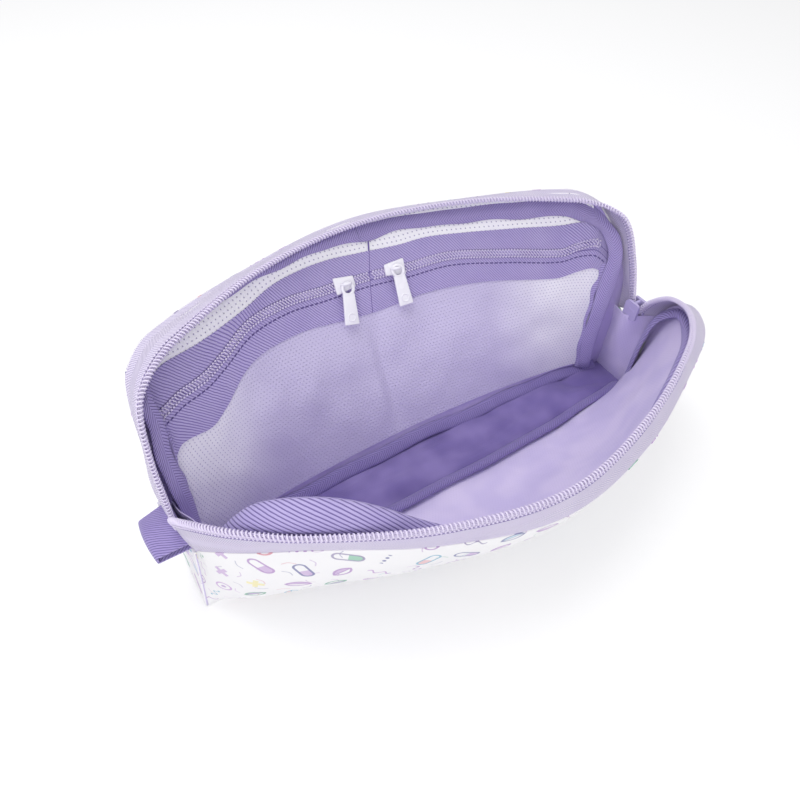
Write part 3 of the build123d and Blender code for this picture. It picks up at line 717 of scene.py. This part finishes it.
def wind_coil(name, place, toward, wide, high, thread, stitch_at):
    """Thread wound round the line place(share); toward(share) points to the tape, where a pair of
    stitches holds each turn."""
    shares = shares_a_tooth_apart(place)
    sides, steps = 4, 10
    net = bmesh.new()
    rings = []

    def frame_at(share):
        ahead = (place(min(share + 0.002, 1)) - place(max(share - 0.002, 0))).normalized()
        out = toward(share)
        out = (out - ahead * out.dot(ahead)).normalized()
        return ahead, out, ahead.cross(out)

    for share in shares:
        ahead, out, top = frame_at(share)
        middle = place(share)
        for k in range(steps):
            angle = 2 * pi * k / steps
            lean = (k / steps - 0.5) * TOOTH
            hub = middle + ahead * lean + out * wide * cos(angle) + top * high * sin(angle)
            away = (out * cos(angle) * high + top * sin(angle) * wide).normalized()
            ring = []
            for q in range(sides):
                a = 2 * pi * (q + 0.5) / sides
                around = (away * cos(a) + ahead * sin(a)) * thread
                ring.append(net.verts.new((hub + around) * MM))
            rings.append(ring)
    for a, b in zip(rings, rings[1:]):
        for q in range(sides):
            net.faces.new((a[q], b[q], b[(q + 1) % sides], a[(q + 1) % sides])).smooth = True
    net.faces.new(rings[0])
    net.faces.new(rings[-1][::-1])
    for share in shares:
        ahead, out, top = frame_at(share)
        for lift in (1, -1):
            hub = place(share) + out * stitch_at + top * lift * 0.45
            long, short = ahead * 0.6, out * 0.55
            rise = top * lift * 0.6
            foot = [net.verts.new((hub + long * u + short * w) * MM)
                    for u, w in ((-1, -0.6), (0, -1), (1, -0.6), (1, 0.6), (0, 1), (-1, 0.6))]
            crown = net.verts.new((hub + rise) * MM)
            root = net.verts.new((hub - rise * 0.4) * MM)
            for q in range(6):
                net.faces.new((foot[q], foot[(q + 1) % 6], crown)).smooth = True
                net.faces.new((foot[(q + 1) % 6], foot[q], root)).smooth = True
    bmesh.ops.recalc_face_normals(net, faces=net.faces)
    return piece_from(net, name)


def sew_coil(piece, nodes):
    piece.data.materials.append(coil_finish)
    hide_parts(*nodes)
    cross_bend(piece)


for wall, panel, line in WALLS:
    for hand, word in HANDS:
        def along_rim(share, hand=hand, line=line):
            return on_line(line, hand * share)

        def to_tape(share, hand=hand, line=line, panel=panel):
            return panel.face(hand * share, 1.0) - on_line(line, hand * share)

        piece = wind_coil(f"{wall}_coil_{word}_half", along_rim, to_tape, **COIL)
        sew_coil(piece, (f"{wall}_coil", f"{wall}_coil_wings"))

# ----------------------------------------
# Bindings: soft ribbed tape folded over the raw edges where the lining meets the zip tape. It
# lies on the lining inside the rim, and at the left of the front panel it stands up in a roll.
UP = Vector((0, 0, 1))


def roll_of_tape(name, section, columns, sides=18):
    """A flattened closed roll; section(share) gives the corners of its cross-section."""
    net = bmesh.new()
    uv = net.loops.layers.uv.new("cloth")
    rings = []
    for share in columns:
        outline = section(share)
        count = len(outline)
        ring = []
        for k in range(sides):
            at = k * count / sides
            i = floor(at)
            u = at - i
            a, b, c, d = (outline[(i + n) % count] for n in (-1, 0, 1, 2))
            ring.append(b * 0.5 * (u**3 * 3 - 5 * u**2 + 2) + c * 0.5 * (4 * u**2 - 3 * u**3 + u)
                        + a * 0.5 * (2 * u**2 - u**3 - u) + d * 0.5 * (u**3 - u**2))
        rings.append(ring)
    run = run_along([ring[0] for ring in rings], middle_of(columns))
    girths = [run_along(ring + ring[:1]) for ring in rings]
    dots = [[net.verts.new(p * MM) for p in ring] for ring in rings]
    for i in range(len(rings) - 1):
        for k in range(sides):
            j = (k + 1) % sides
            quad = net.faces.new((dots[i][k], dots[i + 1][k], dots[i + 1][j], dots[i][j]))
            quad.smooth = True
            spots = ((i, k), (i + 1, k), (i + 1, k + 1), (i, k + 1))
            for loop, (a, b) in zip(quad.loops, spots):
                loop[uv].uv = (run[a], girths[a][b])
    net.faces.new(dots[0][::-1])
    net.faces.new(dots[-1])
    bmesh.ops.recalc_face_normals(net, faces=net.faces)
    piece = piece_from(net, name)
    wide = sum(g[-1] for g in girths) / len(girths) / 2
    piece["cut"] = (wide * MM, (run[-1] - run[0]) * MM)
    return piece


binding_finish = herringbone("binding_tape", "B9ACDD", "A89AD0", "6A59A2", column=5.2, pitch=1.45)
# The binding at the feet of the panels is a darker copy of the binding tape: painted shade low in
# the case.
foot_binding_painted_shade_finish = herringbone("foot_binding_tape_painted_shade", "9C8FC6", "897BB8", "564689", column=5.2,
                                  pitch=1.45)
front_binding_finish = herringbone("front_binding_tape", "BFB3E2", "AB9ED5", "7060A4",
                                   column=60.0, pitch=3.3, slope=-2.0, thin=0.55)


def rim_axes(panel, share):
    """The seam at the rim, the way down the face square to the rim, and the way into the case."""
    ahead = panel.face(min(share + 0.01, 1), 1) - panel.face(max(share - 0.01, -1), 1)
    ahead.normalize()
    inward = panel.inward(share, 0.99)
    inward = (inward - ahead * inward.dot(ahead)).normalized()
    return panel.face(share, 1), ahead.cross(inward) * panel.side, inward


def level_line(*stops):
    """A line with one number at each stop, for height() to read."""
    return [(at, number, 0, 0) for at, number in stops]


def height(line, at):
    """The number of the line there; a plain number is the same all along."""
    return on_line(line, at).x if isinstance(line, list) else line


REACH = level_line((-1, 5), (-0.5, 5), (-0.33, 6), (-0.19, 7.5), (-0.1, 9.5), (0.02, 12.5),
                   (0.15, 11.5), (0.25, 12), (0.53, 13.5), (1, 13))
END_SEAM = {("back", -1): [(0.62, -120, 34, 100), (0.7, -121.5, 26, 93), (0.76, -121, 23, 83),
                           (0.82, -123, 17, 72), (0.87, -123, 14.5, 64), (0.91, -122.8, 12, 55),
                           (0.94, -122.2, 10.5, 44), (0.97, -122.5, 9, 31), (1, -122.5, 8.5, 12)],
            ("back", 1): [(0.62, 116, 36, 98), (0.7, 122, 26.5, 89), (0.76, 123, 20.5, 82),
                          (0.8, 123, 18, 75), (0.85, 121, 16.3, 65), (0.9, 117.5, 14, 51),
                          (0.94, 115, 12.5, 39), (0.97, 112.5, 11, 26), (1, 111.3, 9.5, 9)],
            ("front", -1): [(0.84, -120, -24, 60), (0.9, -121.5, -18, 52), (0.93, -122, -14, 44),
                            (0.96, -122.5, -11, 30), (1, -124, -11, 8)],
            ("front", 1): [(0.84, 130.5, -22, 66), (0.9, 132, -14.5, 56), (0.93, 130.5, -12.5, 47),
                           (0.96, 128.5, -12, 32), (1, 126.5, -12.5, 8)]}


def corners(hub, one, two, *steps):
    """Corners round a roll, each so far from its hub along one way and along the other."""
    return [hub + one * a + two * b for a, b in steps]


def binding_section(wall, panel, zip_line, share):
    """Corners round the roll: seam, crest, lower edge, back."""
    seam, below, inward = rim_axes(panel, share)
    wave = 0.55 * sin(share * 46) + 0.45 * sin(share * 29 + 1)
    hand = 1 if share > 0 else -1
    reach = height(REACH, share) if wall == "back" else 8.5
    flat = corners(seam, below, inward, (2.4, 1.6), (3.6 + 0.2 * wave, 4.0),
                   (0.6 * reach + 0.3 * wave, 7.0), (reach + 0.7 * wave, 6.6), (0.6 * reach, 4.0))
    hub = on_line(END_SEAM[wall, hand], abs(share))
    aside = Vector((-0.75 * hand, 0.66 * panel.side, 0))
    level_in = Vector((-0.66 * hand, -0.75 * panel.side, 0))
    upright = corners(hub, aside, level_in, (-4.2 - 0.5 * wave, 0), (-3.4, 1.2),
                      (0, 1.9 + 0.3 * wave), (4.2 + 0.6 * wave, 1), (0, -0.4))
    first = END_SEAM[wall, hand][0][0]
    flat = [a.lerp(b, ease(abs(share), first, first + 0.09)) for a, b in zip(flat, upright)]
    if wall == "back":
        return flat
    coil = on_line(zip_line, share)
    level_in = Vector((inward.x, inward.y, 0)).normalized()
    stood = corners(coil, level_in, UP, (1.9, -1.6), (5.5, 5.6), (11.0, 8.0), (13.5, 1.0),
                    (6.5, -6.0))
    return [a.lerp(b, puff(share)) for a, b in zip(flat, stood)]


for wall, panel, line in WALLS:
    finish = front_binding_finish if wall == "front" else binding_finish
    for hand, word in HANDS:
        shares = sorted(hand * s for s in span(0, 1, 120))
        piece = roll_of_tape(f"{wall}_binding_{word}_half",
                             lambda s, w=wall, p=panel, z=line: binding_section(w, p, z, s), shares)
        sew(piece, finish, "binding", None, (f"{wall}_binding", f"{wall}_binding_wings"))
        cross_bend(piece)

# ----------------------------------------
# Bottom gusset: printed cloth under a thin board, with a lining above it. The seams on both
# sides are covered by wavy binding.

def bottom_sheet(depth, reach_x, reach_y):
    return lambda x, y: Vector((x * reach_x, y * reach_y, depth))


def bottom_lining(share, across):
    """From the foot of the front lining to the foot of the back lining."""
    point = front.layer(share, 0.02, 3.4).lerp(back.layer(share, 0.02, 3.4), (across + 1) / 2)
    inner = (1 - share**6) * (1 - across**2)
    point.z = max(2.5, point.z) + inner * (1.2 + abs(folds(point, 6, 0.03, (0.6, 1.6, 1))))
    return point


def lay_bottom(name, place, columns, rows, thick, finish, slot, node):
    piece = lay_cloth(name, place, columns, rows, thick, 1)
    sew(piece, finish, slot, "base", (node,))


lay_bottom("bottom_cover_cloth", bottom_sheet(0.1, HALF, SEAM_Y), span(-1, 1, 40), span(-1, 1, 8),
           CLOTH_THICK, print_finish, "printed_cloth", "bottom_cover")
lay_bottom("bottom_board_sheet", bottom_sheet(1.1, HALF - 2, SEAM_Y - 1), span(-1, 1, 20),
           span(-1, 1, 4), 1.2, foam_finish, "foam_board", "bottom_board")
# The bottom lining's taffeta is a darker copy of the lining: painted shade for the dim floor inside
# the case.
lay_bottom("bottom_lining_cloth", bottom_lining, span(-0.98, 0.98, 120), span(-1, 1, 20),
           LINING_THICK, taffeta("bottom_taffeta_painted_shade", "8F80BB", "7667A6"), "lining", "bottom_lining")


def bottom_binding(panel):
    def section(share):
        wave = 0.7 * sin(share * 23 + panel.side) + 0.6 * sin(share * 13 + 2 * panel.side)
        out = Vector((0, panel.side, 0))
        hub = panel.layer(share, 0.035, 4.3) - out * 0.5
        hub = hub + out * 0.6 * wave + UP * (0.4 * wave + 1.2)
        return corners(hub, out, UP, (-3.6, -1.6), (-1.6, 1.2), (1.8, 2.6), (3.0, 0.8), (0.2, -1.8))
    return section


for wall, panel, line in WALLS:
    piece = roll_of_tape(f"bottom_{wall}_binding_tape", bottom_binding(panel),
                         span(-0.8, 0.8, 160), 14)
    sew(piece, foot_binding_painted_shade_finish, "binding", "base", (f"bottom_{wall}_binding",))

# ----------------------------------------
# End gussets: a strip of printed cloth and of lining closes each end up to the foot of the zip.
# It is sewn to the ends of both panels.
END_FOLD = {-1: -1.5, 1: -5.5}    # how far each gusset folds in between its seams


def end_place(hand, depth, fold):
    """Across from the front panel, at 0, to the back panel, at 1; up from 0 to 1."""
    def place(across, up):
        point = front.face(hand, up).lerp(back.face(hand, up), across)
        swell = fold * sin(pi * across) * up ** 0.6
        return point + Vector((hand * (swell - depth), 0, 0))
    return place


def end_lining(hand):
    """The lining's sides lap over the seams at the top only, where they show."""
    inner = end_place(hand, 3.2, END_FOLD[hand] - 0.5)

    def place(across, up):
        sewn = min(max(across, 0.03), 0.97)
        crease = 0.9 * sin(across * 9 + up * 4) * ease(up, 0.3, 0.9)
        lapped = inner(sewn + (across - sewn) * max(0.12, ease(up, 0.6, 0.95)), up)
        return lapped - Vector((hand * crease, 0, 0))
    return place


def thread_section(hub, thick, hand=1, lean=0.0):
    """Corners round a sewn thread that stands on its side."""
    out, up = Vector((hand, 0, 0)) * thick, Vector((0, -1, -lean)) * thick
    return corners(hub, out, up, (1, 0), (0.3, 1), (-0.8, 0.6), (-0.8, -0.6), (0.3, -1))


seam_dye = nylon("corner_seam", "D3CBE6", "BDB2DA")
for hand, word in HANDS:
    piece = lay_cloth(f"end_cover_{word}_cloth", end_place(hand, 0.0, END_FOLD[hand]),
                      span(0, 1, 16), span(0, 1, 16), CLOTH_THICK, hand)
    sew(piece, print_finish, "printed_cloth", "base", (f"end_cover_{word}",))
    piece = lay_cloth(f"end_lining_{word}_cloth", end_lining(hand), span(-0.16, 1.26, 22),
                      span(0.03, 1.08, 18), LINING_THICK, -hand)
    sew(piece, lining_painted_light_finish, "lining", "base", (f"end_lining_{word}",))
    seam = roll_of_tape(
        f"end_seam_{word}_thread",
        lambda up, h=hand: thread_section(front.face(h, 0.02 + 0.96 * up), 0.45, h),
        span(0, 1, 30), 8)
    seam.data.materials.append(seam_dye)
    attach(seam, "base")

# ----------------------------------------
# Zip ends: the two tapes run together below the last teeth and are sewn down on the end gusset,
# on its outside.
ZIP_END = (130, 2.4, 50.2)        # x, half width and height where the last teeth are
ZIP_END_THICK = 0.8


def zip_end(hand):
    sewn = end_place(hand, -1.5, END_FOLD[hand])

    def place(across, up):
        low = sewn(0.5 + across * 0.2, 0.78 + 0.22 * min(1.0, up / 0.6))
        low = low + Vector((0, 0, 1.5 * ease(up, 0.4, 0.65)))
        x, wide, z = ZIP_END
        return low.lerp(Vector((hand * x, across * wide, z)), ease(up, 0.6, 1.0))
    return place


for hand, word in HANDS:
    piece = lay_cloth(f"zip_end_{word}_tape", zip_end(hand), span(-1, 1, 16), span(0, 1, 16),
                      ZIP_END_THICK, hand)
    sew(piece, tape_finish, "zip_tape", "base", (f"zip_end_{word}",))

# ----------------------------------------
# Loop tab: a folded piece of ribbed webbing sewn across the left end as a finger pull. It stands
# out from the gusset and droops a little.
LOOP_ROOT = Vector((-127.5, 1, 45.5))
LOOP_REACH = 14.5
LOOP_WIDE = 12


def loop_tab(across, along):
    """Round the fold: out along the top layer and back along the lower one."""
    turn = along * 2 - 1
    reach = 1 - abs(turn) ** 3
    out = LOOP_REACH * reach * (1 - 0.06 * across * across)
    gap = 1.5 * (1 if turn < 0 else -1) * min(1.0, abs(turn) * 3)
    crown = 1.3 * sin(pi * abs(turn)) * (1 - across * across) * (1 if turn < 0 else 0.2)
    rise = gap + crown + 0.8 * cos(across * 2) - 0.24 * out
    wide = LOOP_WIDE - 1.8 * reach
    return LOOP_ROOT + Vector((-out - 0.6 * across, wide * across + 0.02 * out, rise))


webbing_finish = herringbone("loop_webbing", "A99BD2", "988AC6", "6C5CA4", column=30.0, pitch=1.1,
                             slope=0.5)
piece = lay_cloth("loop_tab_webbing", loop_tab, span(-1, 1, 16), span(0, 1, 32), CLOTH_THICK, 1)
sew(piece, webbing_finish, "binding", "base", ("loop_tab",))

# ----------------------------------------
# Pocket on the back panel: white mesh below and above a zip with lilac tapes, split by a sewn
# divider. Its height lines dip and rise as cloth does.
PANEL_HIGH = 118
POCKET_X = 124
POCKET_LOW = 10
STRIP_X, STRIP_TOP = 118, 115
MESH_DEPTH, TAPE_DEPTH, ROW_DEPTH = 4.3, 4.9, 5.5
ROW_GAP = 0.6                # half the distance between the two rows of coil
POCKET_COIL = {"wide": 0.55, "high": 0.5, "thread": 0.29, "stitch_at": 1.2}
TAPE_FOOT = level_line((-124, 80), (-118, 74), (-103, 64.5), (-92, 67.5), (-80, 75), (-69, 78),
                       (-54, 77.5), (-43, 76), (-22, 71), (0, 68), (30, 70), (60, 70), (100, 67),
                       (111, 71), (124, 83))
ZIP_RUN = level_line((-124, 97), (-116, 90.5), (-99, 86.5), (-87, 88.5), (-70, 94), (-49, 93.5),
                     (-26, 88.7), (-5, 86.3), (20, 85), (45, 87), (75, 84), (102, 82), (112, 87),
                     (124, 97))
TAPE_HEAD = level_line((-124, 109), (-108, 104), (-92, 101), (-70, 101.5), (-52, 104.5), (-36, 104),
                       (-20, 102), (-3, 99), (18, 97.5), (35, 99), (55, 98.5), (80, 97.5),
                       (104, 98), (118, 104), (126, 108))
RIGHT_EDGE = level_line((0, 110), (30, 113), (60, 119), (80, 124), (92, 126.5), (120, 126.5))
DIVIDER_RUN = level_line((0, -9), (35, -8.5), (60, -6.5), (84, -1), (103, 4.5), (120, 7))


def pocket_place(x, high, depth):
    up = high / PANEL_HIGH
    share = back.share_at(x, up)
    return back.layer(share, up, depth)


def pocket_band(first, last, depth, shift=(0, 0), swell=0.0):
    """Band of the pocket between two lines, moved by shift, from the first line to the last."""
    def level_at(x, across):
        start = height(first, x) + shift[0]
        return start + (height(last, x) + shift[1] - start) * across

    def place(x, across):
        level = level_at(x, across)
        aside = height(DIVIDER_RUN, level) * (1 - min(1.0, abs(x) / 60))
        level = level_at(x + aside, across)
        puffed = swell * sin(pi * across) * (1 - (x / 126) ** 6) * (1 - 0.8 * bump(x, 0, 7))
        if x > 0:
            x = x * height(RIGHT_EDGE, level) / POCKET_X
        x = x + aside
        point = pocket_place(x, level, 0)
        return pocket_place(x, level, depth + puffed * (1 + folds(point, 1.2, 0.03)))
    return place


def mesh_cloth(name, pitch, hole, shade, see_through, dark, bright):
    """Knitted polyester mesh with staggered rows of small holes."""
    cloth = Finish(name, 0.7, sheen=0.2)
    x, y = cloth.cloth_place()
    du, dv = staggered(x, y, pitch * 1.15, pitch)
    slant = du + dv
    pin = cloth.soft((slant * slant + (du - dv) * (du - dv) * 0.35).root(), hole * 1.5, hole * 0.6)
    ground = cloth.mix(cloth.cloud(x, y, 16), tint(dark), tint(bright))
    over_lining = cloth.soft(abs(x), 112.0, 60.0) * see_through
    ground = cloth.mix(over_lining, ground, tint("BAAFD9"))
    cloth.paint(cloth.mix(pin * 0.8, ground, tint(shade)))
    cloth.emboss(cloth.cloud(x, y, 1.2, 0.0) - pin, 0.2)
    return cloth.material


mesh_finish = mesh_cloth("pocket_mesh", pitch=1.6, hole=0.26, shade="A297C4",
                         see_through=0.75, dark="E3E0EC", bright="F3F1F8")
# The top strip's mesh is lighter than the pocket mesh, up to pure white: painted light against the
# shade it lies in under the binding.
strip_painted_light_finish = mesh_cloth("pocket_strip_mesh_painted_light", pitch=2.2, hole=0.33, shade="8A7FAE",
                          see_through=0.0, dark="F7F5FD", bright="FFFFFF")
upper_tape_finish = herringbone("pocket_upper_tape", "C2B6E1", "B2A5D8", "8474B8", column=30.0,
                                pitch=1.5, slope=-1.1, stitched=((1.9, 0.4, "7563AE", None),),
                                thin=0.55)
lower_tape_finish = herringbone("pocket_lower_tape", "C2B6E1", "B2A5D8", "8474B8", column=30.0,
                                pitch=1.5, slope=1.1, stitched=((1.9, 0.35, "7563AE", None),
                                                                (4.9, 0.5, "4E3A86", 2.6)),
                                thin=0.55)

lower_cloth = pocket_band(POCKET_LOW, TAPE_FOOT, MESH_DEPTH, (0, 1.5), 2.5)
BANDS = (("mesh", lower_cloth, POCKET_X, 72, 24, LINING_THICK, 1, mesh_finish, "mesh"),
         ("lower_tape", pocket_band(ZIP_RUN, TAPE_FOOT, TAPE_DEPTH, (-0.1, 0)), POCKET_X, 72, 10,
          TAPE_THICK, -1, lower_tape_finish, "pocket_tape"),
         ("upper_tape", pocket_band(ZIP_RUN, TAPE_HEAD, TAPE_DEPTH, (0.1, 0)), POCKET_X, 72, 10,
          TAPE_THICK, 1, upper_tape_finish, "pocket_tape"),
         ("strip", pocket_band(TAPE_HEAD, STRIP_TOP, MESH_DEPTH, (-1.2, 1.0), 0.6), STRIP_X, 50, 8,
          LINING_THICK, 1, strip_painted_light_finish, "mesh"))


def band_nodes(part, word):
    """The nodes that a band of the pocket stands for."""
    if part == "strip":
        return "pocket_top_strip", "pocket_strip_wings"
    if part == "mesh":
        return f"pocket_mesh_{word}", "pocket_mesh_wings"
    return f"pocket_tape_{part[:5]}", "pocket_tape_wings"


def edge_section(share, hand):
    """Corners round the sewn edge of the mesh."""
    high = POCKET_LOW - 2 + 84 * share
    reach = height(RIGHT_EDGE, high) if hand > 0 else POCKET_X
    x = reach - 1.5 + 0.5 * sin(26 * share)
    return [pocket_place(hand * (x + aside), high, depth) for aside, depth in
            ((-1.6, 4.4), (-0.9, 6.2), (0.4, 6.4), (1.2, 4.2), (-0.5, 3.9))]


for hand, word in HANDS:
    for part, place, reach, columns, rows, thick, grow, finish, slot in BANDS:
        piece = lay_cloth(f"pocket_{part}_{word}_half", place,
                          sorted(hand * x for x in span(0, reach, columns)), span(0, 1, rows),
                          thick, grow)
        sew(piece, finish, slot, None, band_nodes(part, word))
        cross_bend(piece)
    for row, offset in (("lower", -ROW_GAP), ("upper", ROW_GAP)):
        def along_pocket(share, hand=hand, offset=offset):
            x = hand * (1 + (POCKET_X - 3) * share)
            return pocket_place(x, height(ZIP_RUN, x) + offset, ROW_DEPTH)

        def up_pocket(share, hand=hand, offset=offset):
            x = hand * (1 + (POCKET_X - 3) * share)
            return (pocket_place(x, height(ZIP_RUN, x) + offset * 2, 5)
                    - pocket_place(x, height(ZIP_RUN, x), 5))

        piece = wind_coil(f"pocket_coil_{row}_{word}_half", along_pocket, up_pocket, **POCKET_COIL)
        sew_coil(piece, ("pocket_coil", "pocket_coil_wings"))
    edge = roll_of_tape(f"pocket_edge_{word}_tape", lambda s, h=hand: edge_section(s, h),
                        span(0, 1, 60), 10)
    sew(edge, binding_finish, "binding", "base", (f"pocket_edge_{word}",))

upper_cloth = pocket_band(TAPE_FOOT, STRIP_TOP, 5.3)
DIVIDER_STEP = 0.55          # share of the divider that is sewn on the lower mesh


def divider_section(up):
    """Corners round the thread that divides the pocket, up over the mesh and then the tapes."""
    if up < DIVIDER_STEP:
        hub = lower_cloth(0.01, up / DIVIDER_STEP)
    else:
        hub = upper_cloth(0.01, (up - DIVIDER_STEP) / (1 - DIVIDER_STEP))
    return thread_section(hub, 0.42, lean=0.4)


divider = roll_of_tape("pocket_divider_seam", divider_section, span(0.01, 0.97, 120), 8)
divider.data.materials.append(nylon("divider_thread", "7A68AE", "5F4E96"))
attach(divider, "back_panel")
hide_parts("pocket_divider")

# ----------------------------------------
# Sliders and pulls: enamelled metal, two white ones on the pocket and a lilac one at the right
# end of the main zip.
PARK = {"left": -15.5, "right": 13.5}
LIFT = {"left": 0.0, "right": 1.0}    # how far each slider is set up its coil
SLIDER_LONG = 11.0
PULL_LONG = 15.5


def enamel(name, dark, bright):
    paint = Finish(name, 0.22, specular=0.5)
    uneven = paint.node("ShaderNodeTexNoise", {}, {"Vector": paint.place(), "Scale": 60.0})
    paint.paint(paint.mix(uneven, tint(dark), tint(bright)))
    paint.dull(paint.soft(uneven, 0.2, 0.8) * 0.12 + 0.18)
    return paint.material


def set_in(piece, middle, across, along, out):
    """Turns a piece modelled flat at the origin, in mm, to its place in the case."""
    turn = Matrix((across, along, out)).transposed().to_4x4()
    piece.matrix_world = Matrix.Translation(middle * MM) @ turn @ Matrix.Scale(MM, 4)
    select_only(piece)
    bpy.ops.object.transform_apply(location=True, rotation=True, scale=True)
    piece.select_set(False)


def rounded_plate(name, wide, long, thick, narrow, rounding):
    """Plate lying flat from the origin along +y; narrow is its width at the origin."""
    bpy.ops.object.select_all(action="DESELECT")
    bpy.ops.mesh.primitive_cube_add(size=1)
    piece = bpy.context.object
    piece.name = name
    for dot in piece.data.vertices:
        width = narrow if dot.co.y < 0 else wide
        dot.co = Vector((dot.co.x * width, (dot.co.y + 0.5) * long, dot.co.z * thick))
    edges = piece.modifiers.new("edges", "BEVEL")
    edges.width = rounding
    edges.segments = 4
    apply_all(piece)
    return piece


def wire_ring(name, radius, thread):
    bpy.ops.object.select_all(action="DESELECT")
    bpy.ops.mesh.primitive_torus_add(major_radius=radius, minor_radius=thread, major_segments=32,
                                     minor_segments=10)
    piece = bpy.context.object
    piece.name = name
    apply_all(piece)
    return piece


enamel_finish = enamel("white_enamel", "E9E7F0", "F8F7FC")
pale_lilac_enamel = enamel("pale_lilac_enamel", "B5AAD8", "C4BAE2")
# The pull's lilac is darkened to hold back the strong lamp on its face: painted shade.
pull_lilac_painted_shade_enamel = enamel("pull_lilac_painted_shade_enamel", "8C7FB8", "998CC2")
for hand, word in HANDS:
    park = PARK[word]
    hub = pocket_place(park, height(ZIP_RUN, park), ROW_DEPTH)
    ahead = (pocket_place(park + 4, height(ZIP_RUN, park + 4), ROW_DEPTH) - hub).normalized()
    low = pocket_place(park + hand - 1.5, height(ZIP_RUN, park) - 12, ROW_DEPTH)
    hang = (low - hub).normalized()
    out = ahead.cross(-hang).normalized()
    out = out if out.y < 0 else -out
    side = ahead.cross(out)
    swing = next(j for j in frame["joints"] if j["name"] == f"{word}_pull_swing")
    pin = Vector(swing["pos_m"]) / MM + out * 0.2
    hub = hub - hang * LIFT[word]
    tab_out = (out - hang * out.dot(hang)).normalized()
    pull_axes = (hang.cross(tab_out), hang, tab_out)
    slider, pull = f"{word}_pocket_slider", f"{word}_pocket_pull"
    for piece, middle, axes, body, node in (
            (rounded_plate(f"{word}_slider_plate", wide=8.6, long=SLIDER_LONG, thick=1.7,
                           narrow=5.6, rounding=0.8),
             hub + out * 1.15 - ahead * SLIDER_LONG / 2 * hand, (-side * hand, ahead * hand, out),
             slider, f"{word}_slider"),
            (wire_ring(f"{word}_slider_bridge", radius=2.3, thread=0.75),
             hub + out * 2.9, (ahead, out, side), slider, None),
            (wire_ring(f"{word}_pull_ring", radius=2.9, thread=0.85),
             pin + hang * 2.6, pull_axes, pull, None),
            (rounded_plate(f"{word}_pull_tab", wide=7.8, long=PULL_LONG, thick=1.5, narrow=6.2,
                           rounding=0.6),
             pin + hang * 4.7, pull_axes, pull, f"{word}_pull"),
            (wire_ring(f"{word}_pull_dimple", radius=1.9, thread=0.3),
             pin + out * 0.75 + hang * 16.5, pull_axes, pull, None)):
        piece.data.materials.append(enamel_finish)
        set_in(piece, middle, *axes)
        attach(piece, body)
        if node:
            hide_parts(node)
for node, finish in (("main_slider", pale_lilac_enamel), ("main_pull", pull_lilac_painted_shade_enamel)):
    solid = frame["nodes"][node]
    for place in solid.material_slots:
        place.material = finish
